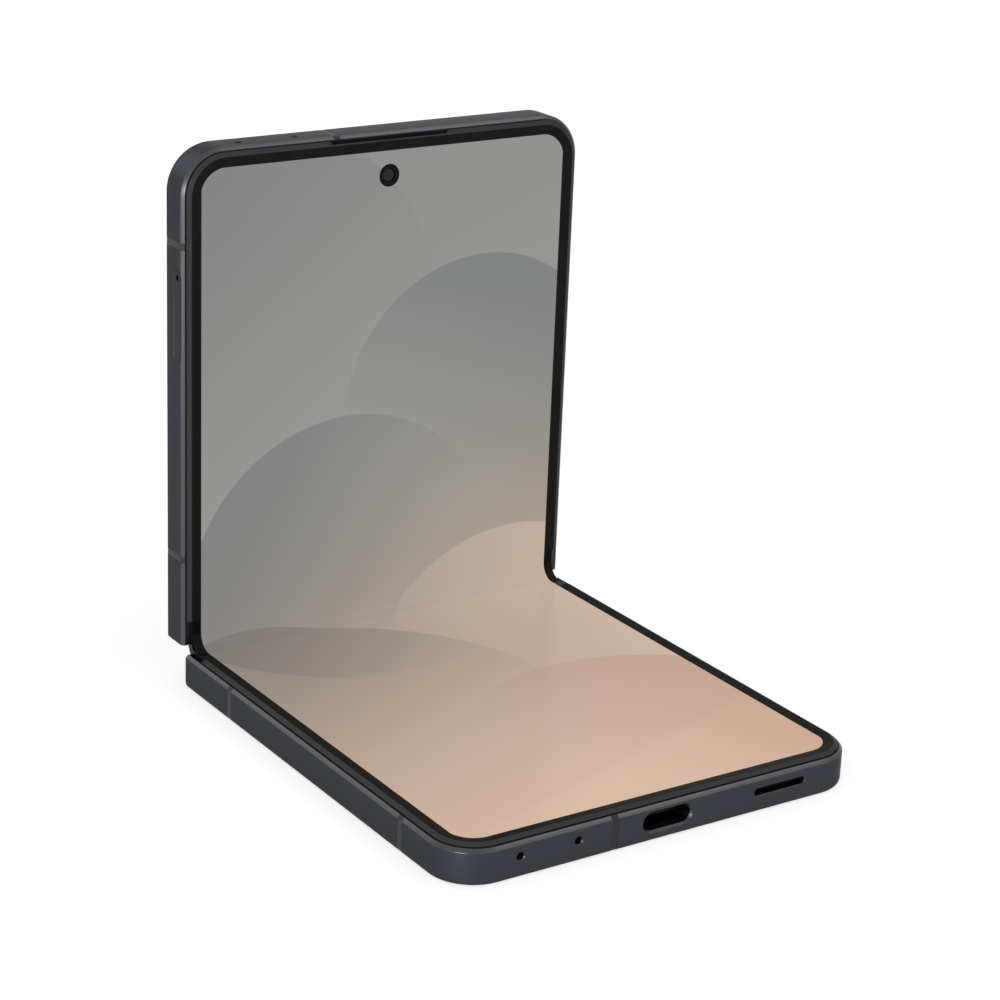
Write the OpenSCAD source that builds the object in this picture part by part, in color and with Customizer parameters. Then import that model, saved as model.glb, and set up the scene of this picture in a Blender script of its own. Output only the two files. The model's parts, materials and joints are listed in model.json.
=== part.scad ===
// Foldable clamshell smartphone, open at a right angle and standing on its lower half.
// Millimetres. The lower half (base) lies flat on z = 0, the upper half (lid) stands up at +Y.
// Inside a half, x runs across the phone, s away from the fold line and t up from the back face.
// Around the fold line, u runs from base to lid and v up out of the screen, with the phone flat.

/* [Body] */
// Width across both halves
phone_w = 75.2; // [72:0.1:78]
// Length of one half, from the seam to its free end
half_len = 83.35; // [82:0.05:88]
// Thickness of one half, over its screen trim
half_t = 6.5; // [6.3:0.05:6.9]
// Thickness of the folded phone
folded_t = 13.7; // [13.4:0.05:14]
// Angle between the screens as modelled
open_angle = 90; // [84:1:96]
// Radius of the outer corners at the free ends
corner_r = 7.5; // [6.5:0.1:9]
// Gap between the two frames when the phone is flat
seam_gap = 0.3; // [0.2:0.05:0.5]

/* [Frame] */
// Thickness of the frame's side walls
wall_t = 2.2; // [2:0.05:2.6]
// Rounding of the frame's back edges
back_r = 0.85; // [0.5:0.05:1]
// Height of the frame's top edge below the screen trim's top
rail_drop = 0.63; // [0.58:0.01:0.66]
// Width of the chamfer along the frame's top edge
chamfer_w = 0.5; // [0.3:0.05:0.55]
// Height of that chamfer
chamfer_h = 0.54; // [0.4:0.02:0.6]
// Flat lip beside the chamfer
lip_w = 0.12; // [0.1:0.01:0.2]
// Thickness of the shelves that plates and glass are glued to
shelf_t = 0.4; // [0.3:0.05:0.5]
// Length of the floor behind the hinge, from the seam
floor_len = 12; // [11.6:0.1:13]
// Height of that floor's top face
floor_top = 2.9; // [2.6:0.05:3.1]
// Width of an antenna break
break_w = 1.2; // [0.8:0.1:1.6]
// Depth of an antenna break
break_d = 1.1; // [0.8:0.05:1.2]
// Distance of the first side antenna break from the seam
break_near = 15.3; // [14:0.1:20]
// Distance of the second side antenna break from the free end
break_end = 15.35; // [13.35:0.05:16.35]
// Place across the free end of its antenna break
break_x = -9.7; // [-11:0.1:-8]

/* [Glass and screen] */
// Depth of the screen's surface below its trim's top
screen_drop = 0.25; // [0.2:0.01:0.3]
// Thickness of the folding screen panel
screen_t = 0.45; // [0.4:0.01:0.5]
// Gap between the frame's lip and the screen trim
trim_gap = 0.12; // [0.08:0.01:0.2]
// Width of the screen trim
trim_w = 2.39; // [2.2:0.01:2.6]
// Width of the trim's foot beside the panel
trim_foot = 0.86; // [0.7:0.01:1]
// Distance of the trim's ends from the seam
trim_start = 4.5; // [4.2:0.05:5]
// Thickness of the plate under the screen
plate_t = 0.5; // [0.4:0.05:0.6]
// Thickness of the back glass
glass_t = 0.6; // [0.5:0.05:0.65]
// Inset of the back glass from the outside
glass_inset = 1.3; // [1.2:0.05:1.5]
// Distance of the back glass from the seam
glass_start = 2; // [1.5:0.1:3]
// Glue line under the back glass
glue_t = 0.1; // [0.05:0.01:0.12]
// Thickness of the cover screen behind the lid's glass
cover_screen_t = 0.6; // [0.4:0.05:0.7]

/* [Hinge] */
// Outer radius of the hinge cover about the fold line
cover_r = 4.9; // [4.85:0.01:5]
// Thickness of the hinge cover
cover_t = 0.5; // [0.4:0.05:0.5]
// Gap between the hinge cover and the frames that sweep round it
sweep_gap = 0.25; // [0.2:0.01:0.3]
// Inset of the hinge's ends from the phone's sides
hinge_inset = 3; // [2.95:0.05:3.3]
// Thickness of the hinge's end caps
cap_t = 1.2; // [0.8:0.1:1.6]
// Running clearance of sliding and turning pieces
run_gap = 0.06; // [0.04:0.01:0.08]
// Thickness of the arms that reach over the hinge cover's rim
arm_t = 0.75; // [0.6:0.05:0.8]
// Thickness of the curved rails
rail_t = 0.95; // [0.8:0.05:1]
// Width of a curved rail
rail_w = 3; // [2.5:0.1:3.5]
// Module of the timing gears
gear_m = 0.2; // [0.195:0.001:0.2]
// Teeth in the full circle of a gear sector
sector_teeth = 38; // [38:1:38]
// Teeth of an idler gear
idler_teeth = 11; // [11:1:11]
// Face width of a gear sector
sector_w = 1.6; // [1.2:0.1:2]
// Radius of an idler's shaft
shaft_r = 0.4; // [0.3:0.05:0.5]
// Distance of the hinge modules from the hinge's ends
module_inset = 2.6; // [2.2:0.1:3.6]

/* [Keys and tray] */
// Length of the volume key
volume_len = 18; // [14:0.1:20]
// Distance of the volume key's middle from the free end
volume_end = 27.35; // [26.35:0.05:28.35]
// Length of the power key
power_len = 14; // [10:0.1:15]
// Distance of the power key's middle from the free end
power_end = 51.35; // [49.35:0.05:53.35]
// Height of the keys
key_h = 2.2; // [1.8:0.05:2.6]
// How far the keys stand out
key_proud = 0.4; // [0.3:0.05:0.5]
// Travel of the keys
key_travel = 0.25; // [0.2:0.01:0.3]
// Height of the card tray's face
tray_h = 2.24; // [2:0.02:2.4]
// Length of the card tray's face
tray_len = 14.9; // [14:0.1:15.5]
// Distance of the card tray's middle from the free end
tray_end = 26.9; // [26.35:0.05:27.35]
// Depth that the card tray reaches into the lid
tray_depth = 15; // [13:0.1:16]
// Radius of the tray's ejector hole
ejector_r = 0.45; // [0.4:0.01:0.5]

/* [Openings and cameras] */
// Width of the charging socket's mouth
usb_w = 8.34; // [8.3:0.01:8.4]
// Height of the charging socket's mouth
usb_h = 2.56; // [2.5:0.01:2.6]
// Wall of the charging socket's shell
usb_wall = 0.3; // [0.2:0.01:0.35]
// Depth of the charging socket
usb_depth = 7.3; // [6.8:0.1:7.6]
// Height of the charging socket's middle
usb_level = 3.2; // [3.1:0.01:3.3]
// Height of the sound holes' middle
port_level = 3.5; // [3.3:0.01:3.6]
// Radius of a microphone hole
mic_r = 0.6; // [0.4:0.05:0.8]
// Distance of the outer microphone holes from the left side
mic_outer_in = 11.2; // [11:0.1:12]
// Distance of the inner microphone holes from the left side
mic_inner_in = 21.4; // [20.4:0.1:22]
// Distance of the loudspeaker slot's middle from the right side
speaker_in = 16.3; // [15.6:0.1:17.6]
// Length of the loudspeaker slot
speaker_len = 9.8; // [8:0.1:11]
// Height of the loudspeaker slot
speaker_h = 1.2; // [1:0.05:1.5]
// Length of the earpiece slot
ear_len = 22.5; // [18:0.1:24]
// Distance of the front camera from the free end
front_cam_end = 7.25; // [7.05:0.05:7.45]
// Radius of the hole in the screen for it
front_cam_r = 1.9; // [1.6:0.05:2.1]
// Distance of the outer rear camera from the right side
rear_cam_outer_in = 11.2; // [10.9:0.1:11.4]
// Distance of the inner rear camera from the right side
rear_cam_inner_in = 25.6; // [25.2:0.1:26]
// Distance of the rear cameras from the free end
rear_cam_end = 11.35; // [10.85:0.05:11.85]
// Outer radius of the rear cameras' rings
ring_r = 6.3; // [5.6:0.05:6.5]
// Wall of the rear cameras' rings
ring_wall = 1.1; // [0.9:0.05:1.3]
// How far those rings stand out of the back
ring_proud = 0.9; // [0.6:0.05:1.2]
// Radius of the flash window
flash_r = 1.6; // [1.2:0.05:1.8]

/* [Hidden] */
$fn = 64;
eps = 0.01;
fit_gap = 0.05;
glue_gap = 0.1;
side_play = 0.3;
cut_past = 1;

// Fold line and half frames
fold = 180 - open_angle;
axis_t = folded_t / 2;
hinge_y = half_len / 2;
seam_s = seam_gap / 2;
half_w = phone_w / 2;

// Places in a half that go with its sides or its free end
break_far = half_len - break_end;
volume_s = half_len - volume_end;
power_s = half_len - power_end;
tray_s = half_len - tray_end;
front_cam_s = half_len - front_cam_end;
rear_cam_s = half_len - rear_cam_end;
mic_x = [mic_outer_in - half_w, mic_inner_in - half_w];
speaker_x = half_w - speaker_in;
rear_cam_x = [half_w - rear_cam_inner_in, half_w - rear_cam_outer_in];

// Heights in a half
screen_z = half_t - screen_drop;
panel_z = screen_z - screen_t;
plate_z = panel_z - plate_t;
shelf_z = plate_z - shelf_t;
rail_z = half_t - rail_drop;
glue_z = glass_t + glue_t;
cavity_z = glue_z + shelf_t;

// Insets from the outside
lip_in = chamfer_w + lip_w;
trim_in = lip_in + trim_gap;
panel_in = trim_in + trim_foot + fit_gap;
screen_in = trim_in + trim_w;
plate_in = 2.4;
shelf_in = 3.4;
glass_shelf_in = 3;
cover_screen_gap = 0.15;
cover_screen_back = 0.4;
cover_screen_in = glass_shelf_in + cover_screen_gap;
cover_screen_start = floor_len + cover_screen_back;
plate_back = 0.2;
plate_start = floor_len + plate_back;
wing_z = plate_z + glue_gap;

// Fold of the screen: its length is the same flat or folded
fold_c = axis_t - screen_z;
half_turn = fold / 2;
fold_r = fold_c * tan(half_turn) / (tan(half_turn) - half_turn * PI / 180);
fold_v = (fold_r - fold_c) / cos(half_turn);
fold_s = (fold_r - fold_c) * tan(half_turn);
strip_gap = 0.03;
edge_strip_t = 0.2;
edge_strip_out = 0.1;
seal_w = 1.6;

// Hinge
sweep_r = cover_r + sweep_gap;
cover_in_r = cover_r - cover_t;
hinge_half = half_w - hinge_inset;
under_v = panel_z - axis_t - fit_gap;
rim_v = under_v - glue_gap;
arm_v = under_v - arm_t;
block_v = -1.4;
rail_out_r = cover_in_r - run_gap;
rail_in_r = rail_out_r - rail_t;
rail_end_a = -22;
rail_past_a = 1;
sector_short_a = 2.5;
wedge_reach = 1.3;
arm_tip = 0.9;
notch_from = 2;
rail_root_a = 22;
sector_root_a = 12;
arm_gap = 0.15;
bracket_s = sweep_r + arm_gap;
bracket_len = 5.9;
arm_root = 0.5;
sector_pitch_r = gear_m * sector_teeth / 2;
idler_pitch_r = gear_m * idler_teeth / 2;
idler_d = sector_pitch_r - idler_pitch_r;
idler_a = asin(idler_pitch_r / idler_d);
idler_pitch_a = 360 / idler_teeth;
gear_ratio = sector_teeth / idler_teeth;
pressure_a = 20;
tooth_backlash = 0.035;
tooth_add = 0.75 * gear_m;
tooth_ded = 1.05 * gear_m;
sector_rim = 0.3;
sector_out_r = sector_pitch_r + tooth_ded + sector_rim;
// Stations of a hinge module across the phone, from its inner end
end_wall = 1;
chamber_wall = 2;
mesh_w = 1.6;
module_len = 2 * (end_wall + rail_w + chamber_wall + sector_w) + 4 * side_play + mesh_w;
module_x = hinge_half - module_inset - module_len;
base_rail_x = module_x + end_wall;
chamber_x = base_rail_x + rail_w + chamber_wall;
base_sector_x = chamber_x + side_play;
mesh_x = base_sector_x + sector_w + side_play;
lid_sector_x = mesh_x + mesh_w + side_play;
chamber_end_x = lid_sector_x + sector_w + side_play;
lid_rail_x = chamber_end_x + chamber_wall;
module_end_x = module_x + module_len;
bearing_w = 1.2;
shaft_gap = 0.2;
block_gap = 0.2;
idler_past = 0.15;
block_screw_len = 1.5;
block_screw_sink = 0.05;
block_screw_in = 1.05;
block_screw_x = [chamber_x - block_screw_in, chamber_end_x + block_screw_in];
block_screw_r = 0.44;

// Screws
screw_r = 0.55;
screw_head_r = 1;
screw_head_t = 0.35;
bracket_screw_in = 2.4;
bracket_screw_x = [module_x + bracket_screw_in, module_end_x - bracket_screw_in];
bracket_screw_back = 3.4;
bracket_screw_s = bracket_s + bracket_screw_back;

// Detent springs
spring_r = 0.95;
spring_wire = 0.4;
spring_level = -2.75;
spring_u = 1.25;
anchor_w = 6;
spring_room = 0.5;
spring_end_x = module_x - spring_room;
pin_gap = 0.1;
pin_short = 1;

// Boards and batteries
sub_board_room = 25.35;
main_board_room = 40.85;
battery_w = 60;
upper_battery_w = 58;
battery_gap = 1.5;
battery_lift = 0.2;
battery_round = 2;
battery_start = floor_len + battery_gap;
battery_end = half_len - sub_board_room;
upper_battery_end = half_len - main_board_room;
board_gap = 0.2;
board_in = shelf_in + board_gap;
board_end = half_len - board_in;
board_top = usb_level - usb_h / 2 - usb_wall;
board_t = 0.7;
inner_back = glass_t + cover_screen_t;
main_board_z = inner_back + board_t;
main_board_top = main_board_z + board_t;
board_sink = 0.25;
board_hole_r = 0.6;
board_hole_in = 4;
board_hole_back = 1.8;
board_hole_x = half_w - board_in - board_hole_in;
board_hole_s = battery_end + battery_gap + board_hole_back;
key_room = [4.2, 5.45];

// Modules on the boards: sizes across and along, heights over the sound holes' middle
mic_box = [1.7, 2.6];
mic_above = 1;
lid_port_drop = 0.1;
lid_port_level = port_level - lid_port_drop;
mic_round = 0.3;
speaker_box = [8, 11, 17.75];
speaker_nose = [4, 0.8];
speaker_round = 1.5;
ear_past_mic = 1;
ear_past_camera = 1.2;
ear_back = 7.75;
motor_box = [11, 10];
motor_in = 6.6;
motor_end = 20.85;
module_round = 1.2;
shield_x = [4, 5.2];
shield_back = 2;
shield_s = upper_battery_end + battery_gap + shield_back;
shield_round = 0.8;
shield_past_tray = 3.6;
shield_side = 11.6;
shield_gap = 0.6;
shield_to_camera = 8;

// Charging coil under the lower battery
coil_margin = 1.25;
coil_back = 1;
coil_band = 10;
coil_lift = 0.02;
coil_r = (battery_end - battery_start) / 2 - coil_margin;
coil_s = battery_end - coil_back - coil_r;

// Cameras and flash
camera_box = 10.2;
camera_room = 0.15;
camera_top_gap = 0.1;
lens_r = 4.2;
lens_gap = 0.3;
lens_proud = 0.35;
front_box = 6;
front_top_gap = 0.3;
front_barrel_gap = 0.2;
front_round = 0.5;
camera_glass_t = 0.4;
camera_glass_sink = 0.12;
flash_rise = 0.3;
flash_gap = 0.2;
ring_edge = 0.35;
flash_x = (rear_cam_x[0] + rear_cam_x[1]) / 2;
flash_below = 8.4;
flash_s = rear_cam_s - flash_below;

// Trim crown, as inset past the trim's outer edge and drop below its top, and its thin inner edge
trim_edge = 0.02;
trim_crown = [[0, 0.41], [0.2, 0.2], [0.45, 0.06], [0.73, 0], [1.1, 0.03], [1.8, 0.13]];

// Openings
port_past_wall = 1.5;
port_depth = wall_t + port_past_wall;
mouth_gap = 0.3;
usb_pocket_z = 0.95;
tongue_w = 6.69;
tongue_t = 0.7;
tongue_len = 4.45;
tongue_root = 1.4;
ear_w = 0.5;

// Slots that lighten the mid plate
plate_slot = [18, 5];
plate_slot_x = 15;
plate_slot_s = [20, 40, 60];

// Keys and tray
key_level = 3.3;
tray_level = 4.25;
tray_head_t = 1.2;
tray_body_h = 1.2;
tray_body_drop = 0.1;
tray_body_z = tray_level - tray_body_drop - tray_body_h / 2;
tray_plate_below = 6.6;
tray_plate_above = 4.9;
tray_plate_s = [tray_s - tray_plate_below, tray_s + tray_plate_above];
tray_mouth_more = 1;
tray_head_gap = 0.1;
lip_gap = 0.3;
tray_well_start = 2.6;
tray_well_wall = 0.8;
tray_well_floor = 0.35;
ejector_above = 6.25;
ejector_s = tray_s + ejector_above;
ejector_lift = 0.05;
cage_wall = 0.25;
cage_gap = 0.15;
cage_roof = 0.2;
cage_start = 0.5;
cage_stop = [0.3, 0.6];
key_back_gap = 0.3;
strip_back = 1.5;
strip_t = 0.3;
strip_past = 3;
strip_half_h = 1.2;
post_len = 1.5;
switch_half = [1.2, 0.8];
switch_stop = 0.1;

// ---------------------------------------------------------------- placing

// Frame of the fold line: x, u, v, turned by an angle from the base's own flat frame
module at_fold(turn) {
    translate([0, hinge_y, axis_t]) rotate([turn, 0, 0]) children();
}

// A base piece, drawn in x, s, t
module in_base() {
    at_fold(0) mirror([0, 1, 0]) translate([0, 0, -axis_t]) children();
}

// A lid piece, drawn in x, s, t
module in_lid() {
    at_fold(fold) translate([0, 0, -axis_t]) children();
}

// A hinge piece, drawn in x, u, v
module in_hinge() {
    at_fold(half_turn) children();
}

// Extrudes a section drawn in u, v along x
module along_x(x0, x1) {
    translate([x0, 0, 0]) rotate([90, 0, 90]) linear_extrude(x1 - x0) children();
}

// The same section on both sides of the phone
module both_sides(x0, x1) {
    along_x(x0, x1) children();
    along_x(-x1, -x0) children();
}

// A box from two corners
module block(low, high) {
    translate(low) cube(high - low);
}

// ---------------------------------------------------------------- shared outlines

// Plan of a half at an inset from the outside, from s_from to the free end
module half_plan(inset, s_from) {
    w = half_w - inset;
    len = half_len - inset;
    r = corner_r - inset;
    union() {
        translate([-w, s_from]) square([2 * w, len - r - s_from]);
        translate([-(w - r), s_from]) square([2 * (w - r), len - s_from]);
        for (side = [-1, 1]) translate([side * (w - r), len - r]) circle(r);
    }
}

// A flat piece with that plan, between two heights
module half_slab(inset, s_from, t0, t1) {
    translate([0, 0, t0]) linear_extrude(t1 - t0) half_plan(inset, s_from);
}

// Sweeps a section round a half's sides and free end. In the section, x is the inset and y the height
module rim_sweep(s_from) {
    corner_x = half_w - corner_r;
    corner_s = half_len - corner_r;
    for (side = [0, 1]) mirror([side, 0, 0]) translate([corner_x, corner_s, 0]) {
        rotate([90, 0, 0]) linear_extrude(corner_s - s_from) from_corner() children();
        rotate_extrude(angle = 90) from_corner() children();
    }
    translate([-corner_x, corner_s, 0]) rotate([90, 0, 90])
        linear_extrude(2 * corner_x) from_corner() children();
}

// A section of the rim, placed from the middle of a corner
module from_corner() {
    translate([corner_r, 0]) mirror([1, 0]) children();
}

// Outer line of the frame's section, from the back edge to the lip
function frame_edge() = concat(
    [for (k = [0:4]) [back_r * (1 - sin(k * 22.5)), back_r * (1 - cos(k * 22.5))]],
    [[0, rail_z - chamfer_h], [chamfer_w, rail_z], [lip_in, rail_z]]);

// Section of the frame: wall, screen shelf, plate shelf and glass shelf
module frame_section() {
    polygon(concat(frame_edge(), [
        [lip_in, panel_z], [plate_in, panel_z], [plate_in, plate_z], [shelf_in, plate_z],
        [shelf_in, shelf_z], [wall_t, shelf_z], [wall_t, cavity_z], [glass_shelf_in, cavity_z],
        [glass_shelf_in, glue_z], [glass_inset, glue_z], [glass_inset, 0]]));
}

// Outer skin of that section, as deep as an antenna break
module break_section() {
    polygon(concat(frame_edge(), [
        [lip_in, panel_z], [break_d, panel_z], [break_d, 0]]));
}

// Slot shape with round ends, drawn in two axes
module slot_2d(len, high) {
    translate([-(len - high) / 2, -high / 2]) square([len - high, high]);
    for (side = [-1, 1]) translate([side * (len - high) / 2, 0]) circle(high / 2);
}

// A slot or a hole through the free end's wall, at x and a height
module end_port(x, level, depth) {
    translate([x, half_len + eps, level]) rotate([90, 0, 0]) linear_extrude(depth) children();
}

// A slot or a hole through a side wall, side is -1 or 1
module side_port(side, s, level, depth) {
    translate([side * (half_w + eps), s, level]) rotate([90, 0, -90 * side])
        linear_extrude(depth) children();
}

// Antenna breaks of a half: two on each side and one at the free end
module breaks_at(side_list) {
    for (side = [0, 1], s = side_list) mirror([side, 0, 0])
        translate([-half_w, s + break_w / 2, 0]) rotate([90, 0, 0])
            linear_extrude(break_w) break_section();
    translate([break_x - break_w / 2, half_len, 0]) rotate([90, 0, 90])
        linear_extrude(break_w) mirror([1, 0]) break_section();
}

// Space that the hinge cover sweeps inside a half, in x, s, t
module hinge_sweep() {
    translate([0, 0, axis_t]) along_x(-hinge_half - sweep_gap, hinge_half + sweep_gap)
        circle(sweep_r, $fn = 96);
}

// Hinge screw holes in the floor
module floor_holes() {
    for (side = [-1, 1], x = bracket_screw_x)
        translate([side * x, bracket_screw_s, glue_z + shelf_t])
            cylinder(r = screw_r + fit_gap, h = floor_top);
}

// Frame that both halves share: rim, hinge floor and its cradle
module half_frame() {
    difference() {
        union() {
            rim_sweep(seam_s) frame_section();
            block([-(half_w - glass_inset), seam_s, 0],
                  [half_w - glass_inset, glass_start - fit_gap, glue_z]);
            block([-(half_w - wall_t + eps), seam_s, glue_z],
                  [half_w - wall_t + eps, floor_len, floor_top]);
        }
        hinge_sweep();
        floor_holes();
        breaks_at([break_near, break_far]);
    }
}

module glass_seal() {
    difference() {
        half_slab(glass_inset + glue_gap, glass_start, glass_t, glue_z);
        half_slab(glass_shelf_in - glue_gap, glass_start + seal_w, glass_t - eps, glue_z + eps);
    }
}

// Trim round the screen: foot beside the panel, crown, and a lip that runs out on the screen
module screen_trim() {
    rim_sweep(trim_start) polygon(concat(
        [[trim_in, panel_z]], [for (p = trim_crown) [trim_in + p[0], half_t - p[1]]],
        [[screen_in, screen_z + trim_edge], [screen_in, screen_z], [trim_in + trim_foot, screen_z],
         [trim_in + trim_foot, panel_z]]));
}

module mid_plate() {
    difference() {
        half_slab(plate_in + fit_gap, plate_start, plate_z, panel_z);
        for (s = plate_slot_s, side = [-1, 1])
            translate([side * plate_slot_x, s, plate_z - eps]) linear_extrude(plate_t + 2 * eps)
                slot_2d(plate_slot[0], plate_slot[1]);
    }
}

// Plate that carries the screen between the hinge and the mid plate
module support_wing() {
    block([-(half_w - plate_in - fit_gap), bracket_s + arm_root + fit_gap, wing_z],
          [half_w - plate_in - fit_gap, floor_len, panel_z]);
}

module screen_panel() {
    half_slab(panel_in, fold_s + strip_gap, panel_z, screen_z);
}

// ---------------------------------------------------------------- hinge shapes

function involute_a(r, rb) = sqrt(pow(r / rb, 2) - 1) * 180 / PI - acos(rb / r);

// Half the angle of a gear tooth at a radius, with its flanks moved by a play
function tooth_half_a(teeth, r, play) =
    let (rp = gear_m * teeth / 2, rb = rp * cos(pressure_a))
    90 / teeth + involute_a(rp, rb) - involute_a(max(r, rb), rb) + play / r * 180 / PI;

// Outline of a gear with a tooth pointing along +u
module gear_2d(teeth, r_root, r_tip, play) {
    steps = 4;
    radii = [for (k = [0:steps]) r_root + (r_tip - r_root) * k / steps];
    polygon([for (i = [0:teeth - 1]) each concat(
        [for (r = radii) polar(r, 360 * i / teeth - tooth_half_a(teeth, r, play))],
        [for (k = [steps:-1:0])
            polar(radii[k], 360 * i / teeth + tooth_half_a(teeth, radii[k], play))])]);
}

function polar(r, a) = [r * cos(a), r * sin(a)];

// Wedge of a disc between two angles, for cutting arcs out of rings
module wedge_2d(r, a0, a1) {
    steps = 6;
    polygon(concat([[0, 0]],
        [for (k = [0:steps]) polar(wedge_reach * r, a0 + (a1 - a0) * k / steps)]));
}

// Curved rail of the base, in u, v with the phone flat, with its arm over the cover's rim
module base_rail_2d() {
    near_a = -180 + asin(-arm_v / rail_out_r);
    difference() {
        intersection() {
            difference() {
                circle(rail_out_r, $fn = 96);
                circle(rail_in_r, $fn = 96);
            }
            wedge_2d(rail_out_r, near_a - rail_root_a, rail_end_a - rail_past_a);
        }
        translate([-cover_r, under_v]) square([2 * cover_r, cover_r]);
    }
    arm_2d();
}

// Arm from the bracket over the rim to the rail or sector
module arm_2d() {
    reach = bracket_s + arm_root;
    translate([-reach, arm_v]) square([reach - rail_in_r * arm_tip, arm_t]);
}

// Gear sector of a half, with internal teeth. first is the angle of a tooth space
module sector_2d(first) {
    difference() {
        intersection() {
            circle(sector_out_r, $fn = 96);
            wedge_2d(sector_out_r, -180 + asin(-arm_v / sector_out_r) - sector_root_a,
                     rail_end_a + sector_short_a);
        }
        rotate(first) gear_2d(sector_teeth, sector_pitch_r - tooth_add,
                              sector_pitch_r + tooth_ded, tooth_backlash);
        translate([-cover_r, under_v]) square([2 * cover_r, cover_r]);
    }
    arm_2d();
}

// Brackets of a half with their rails and sectors, in x, u, v of the base side
module hinge_brackets(rail_x, sector_x, first) {
    low_v = floor_top - axis_t;
    high_v = wing_z - axis_t;
    difference() {
        union() {
            both_sides(module_x, module_end_x)
                translate([-bracket_s - bracket_len, low_v])
                    square([bracket_len, high_v - low_v]);
            both_sides(rail_x, rail_x + rail_w) base_rail_2d();
            both_sides(sector_x, sector_x + sector_w) sector_2d(first);
        }
        for (side = [-1, 1], x = bracket_screw_x) translate([side * x, -bracket_screw_s, 0]) {
            translate([0, 0, low_v - eps])
                cylinder(r = screw_r + fit_gap, h = high_v - low_v + 2 * eps);
            translate([0, 0, high_v - screw_head_t - fit_gap])
                cylinder(r = screw_head_r + fit_gap, h = screw_head_t + 1);
        }
    }
}

// Screws that hold the brackets down, in x, s, t
module bracket_screws() {
    for (side = [-1, 1], x = bracket_screw_x) translate([side * x, bracket_screw_s, 0]) {
        translate([0, 0, cavity_z + glue_gap])
            cylinder(r = screw_r, h = wing_z - screw_head_t - cavity_z);
        translate([0, 0, wing_z - screw_head_t])
            cylinder(r = screw_head_r, h = screw_head_t - fit_gap);
    }
}

// Idler gears, one in each hinge module. side is -1 for the base's, 1 for the lid's
module idler_gears(side, tooth_from, tooth_to) {
    a = -90 + side * idler_a;
    phase = side < 0 ? a : a + idler_pitch_a / 2;
    turn = side * gear_ratio * half_turn;
    for (mir = [0, 1]) mirror([mir, 0, 0]) translate([0, idler_d * cos(a), idler_d * sin(a)]) {
        along_x(tooth_from, tooth_to) rotate(phase + turn)
            gear_2d(idler_teeth, idler_pitch_r - tooth_ded, idler_pitch_r + tooth_add,
                    -tooth_backlash);
        along_x(chamber_x - bearing_w + shaft_gap, chamber_end_x + bearing_w - shaft_gap)
            circle(shaft_r);
    }
}

// ---------------------------------------------------------------- base

module base_frame() {
    color("#4a4b51") in_base() difference() {
        half_frame();
        end_port(0, usb_level, port_depth) slot_2d(usb_w + mouth_gap, usb_h + mouth_gap);
        for (x = mic_x) end_port(x, port_level, port_depth) circle(mic_r);
        end_port(speaker_x, port_level, port_depth) slot_2d(speaker_len, speaker_h);
        block([-usb_w / 2 - usb_wall - fit_gap, half_len - port_depth, usb_pocket_z],
              [usb_w / 2 + usb_wall + fit_gap, half_len - glass_inset, shelf_z - eps]);
    }
}

module base_back_glass() {
    color("#3a3b40") in_base() half_slab(glass_inset + fit_gap, glass_start, 0, glass_t);
}

module base_glass_seal() {
    color("#202022") in_base() glass_seal();
}

module base_screen_trim() {
    color("#2d2d2e") in_base() screen_trim();
}

module base_mid_plate() {
    color("#8f9196") in_base() mid_plate();
}

module base_support_wing() {
    color("#9a9ca0") in_base() support_wing();
}

module display_lower_panel() {
    color("#c9a98f") in_base() screen_panel();
}

module battery_lower() {
    color("#2b2c30") in_base()
        rounded_block([-battery_w / 2, battery_start, cavity_z + battery_lift],
                      [battery_w / 2, battery_end, plate_z - fit_gap], battery_round);
}

// A block with its upright edges rounded
module rounded_block(low, high, r) {
    size = high - low;
    translate(low) linear_extrude(size[2]) {
        translate([r, 0]) square([size[0] - 2 * r, size[1]]);
        translate([0, r]) square([size[0], size[1] - 2 * r]);
        for (x = [r, size[0] - r], y = [r, size[1] - r]) translate([x, y]) circle(r);
    }
}

module sub_board() {
    color("#1d4a34") in_base() difference() {
        half_slab(board_in, battery_end + battery_gap, cavity_z - board_sink, board_top);
        for (side = [-1, 1]) translate([side * board_hole_x, board_hole_s, 0])
            cylinder(r = board_hole_r, h = half_t);
    }
}

module usb_c_shell() {
    color("#b9bcc2") in_base() difference() {
        translate([0, half_len - glass_inset, usb_level]) rotate([90, 0, 0])
            linear_extrude(usb_depth) slot_2d(usb_w + 2 * usb_wall, usb_h + 2 * usb_wall);
        translate([0, half_len - glass_inset + eps, usb_level]) rotate([90, 0, 0])
            linear_extrude(usb_depth + 2 * eps) slot_2d(usb_w, usb_h);
    }
}

module usb_c_tongue() {
    back_s = half_len - glass_inset - usb_depth;
    color("#26272a") in_base() {
        translate([0, back_s + tongue_root, usb_level]) rotate([90, 0, 0])
            linear_extrude(tongue_root) slot_2d(usb_w - 4 * eps, usb_h - 4 * eps);
        block([-tongue_w / 2, back_s + tongue_root - eps, usb_level - tongue_t / 2],
              [tongue_w / 2, back_s + tongue_root + tongue_len, usb_level + tongue_t / 2]);
    }
}

module loudspeaker() {
    color("#242528") in_base() {
        rounded_block([speaker_x - speaker_box[0], board_end - speaker_box[2], board_top],
                      [speaker_x + speaker_box[1], board_end, shelf_z], speaker_round);
        block([speaker_x - speaker_nose[0], board_end - eps, port_level - speaker_nose[1]],
              [speaker_x + speaker_nose[0], half_len - wall_t - fit_gap,
               port_level + speaker_nose[1]]);
    }
}

module base_microphones() {
    color("#c2b27a") in_base() for (x = mic_x)
        rounded_block([x - mic_box[0], board_end - mic_box[1], board_top],
                      [x + mic_box[0], board_end - glue_gap, port_level + mic_above], mic_round);
}

module vibration_motor() {
    low = [motor_in - half_w, half_len - motor_end, board_top];
    color("#a7a9ad") in_base()
        rounded_block(low, [low[0] + motor_box[0], low[1] + motor_box[1], shelf_z], module_round);
}

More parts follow.
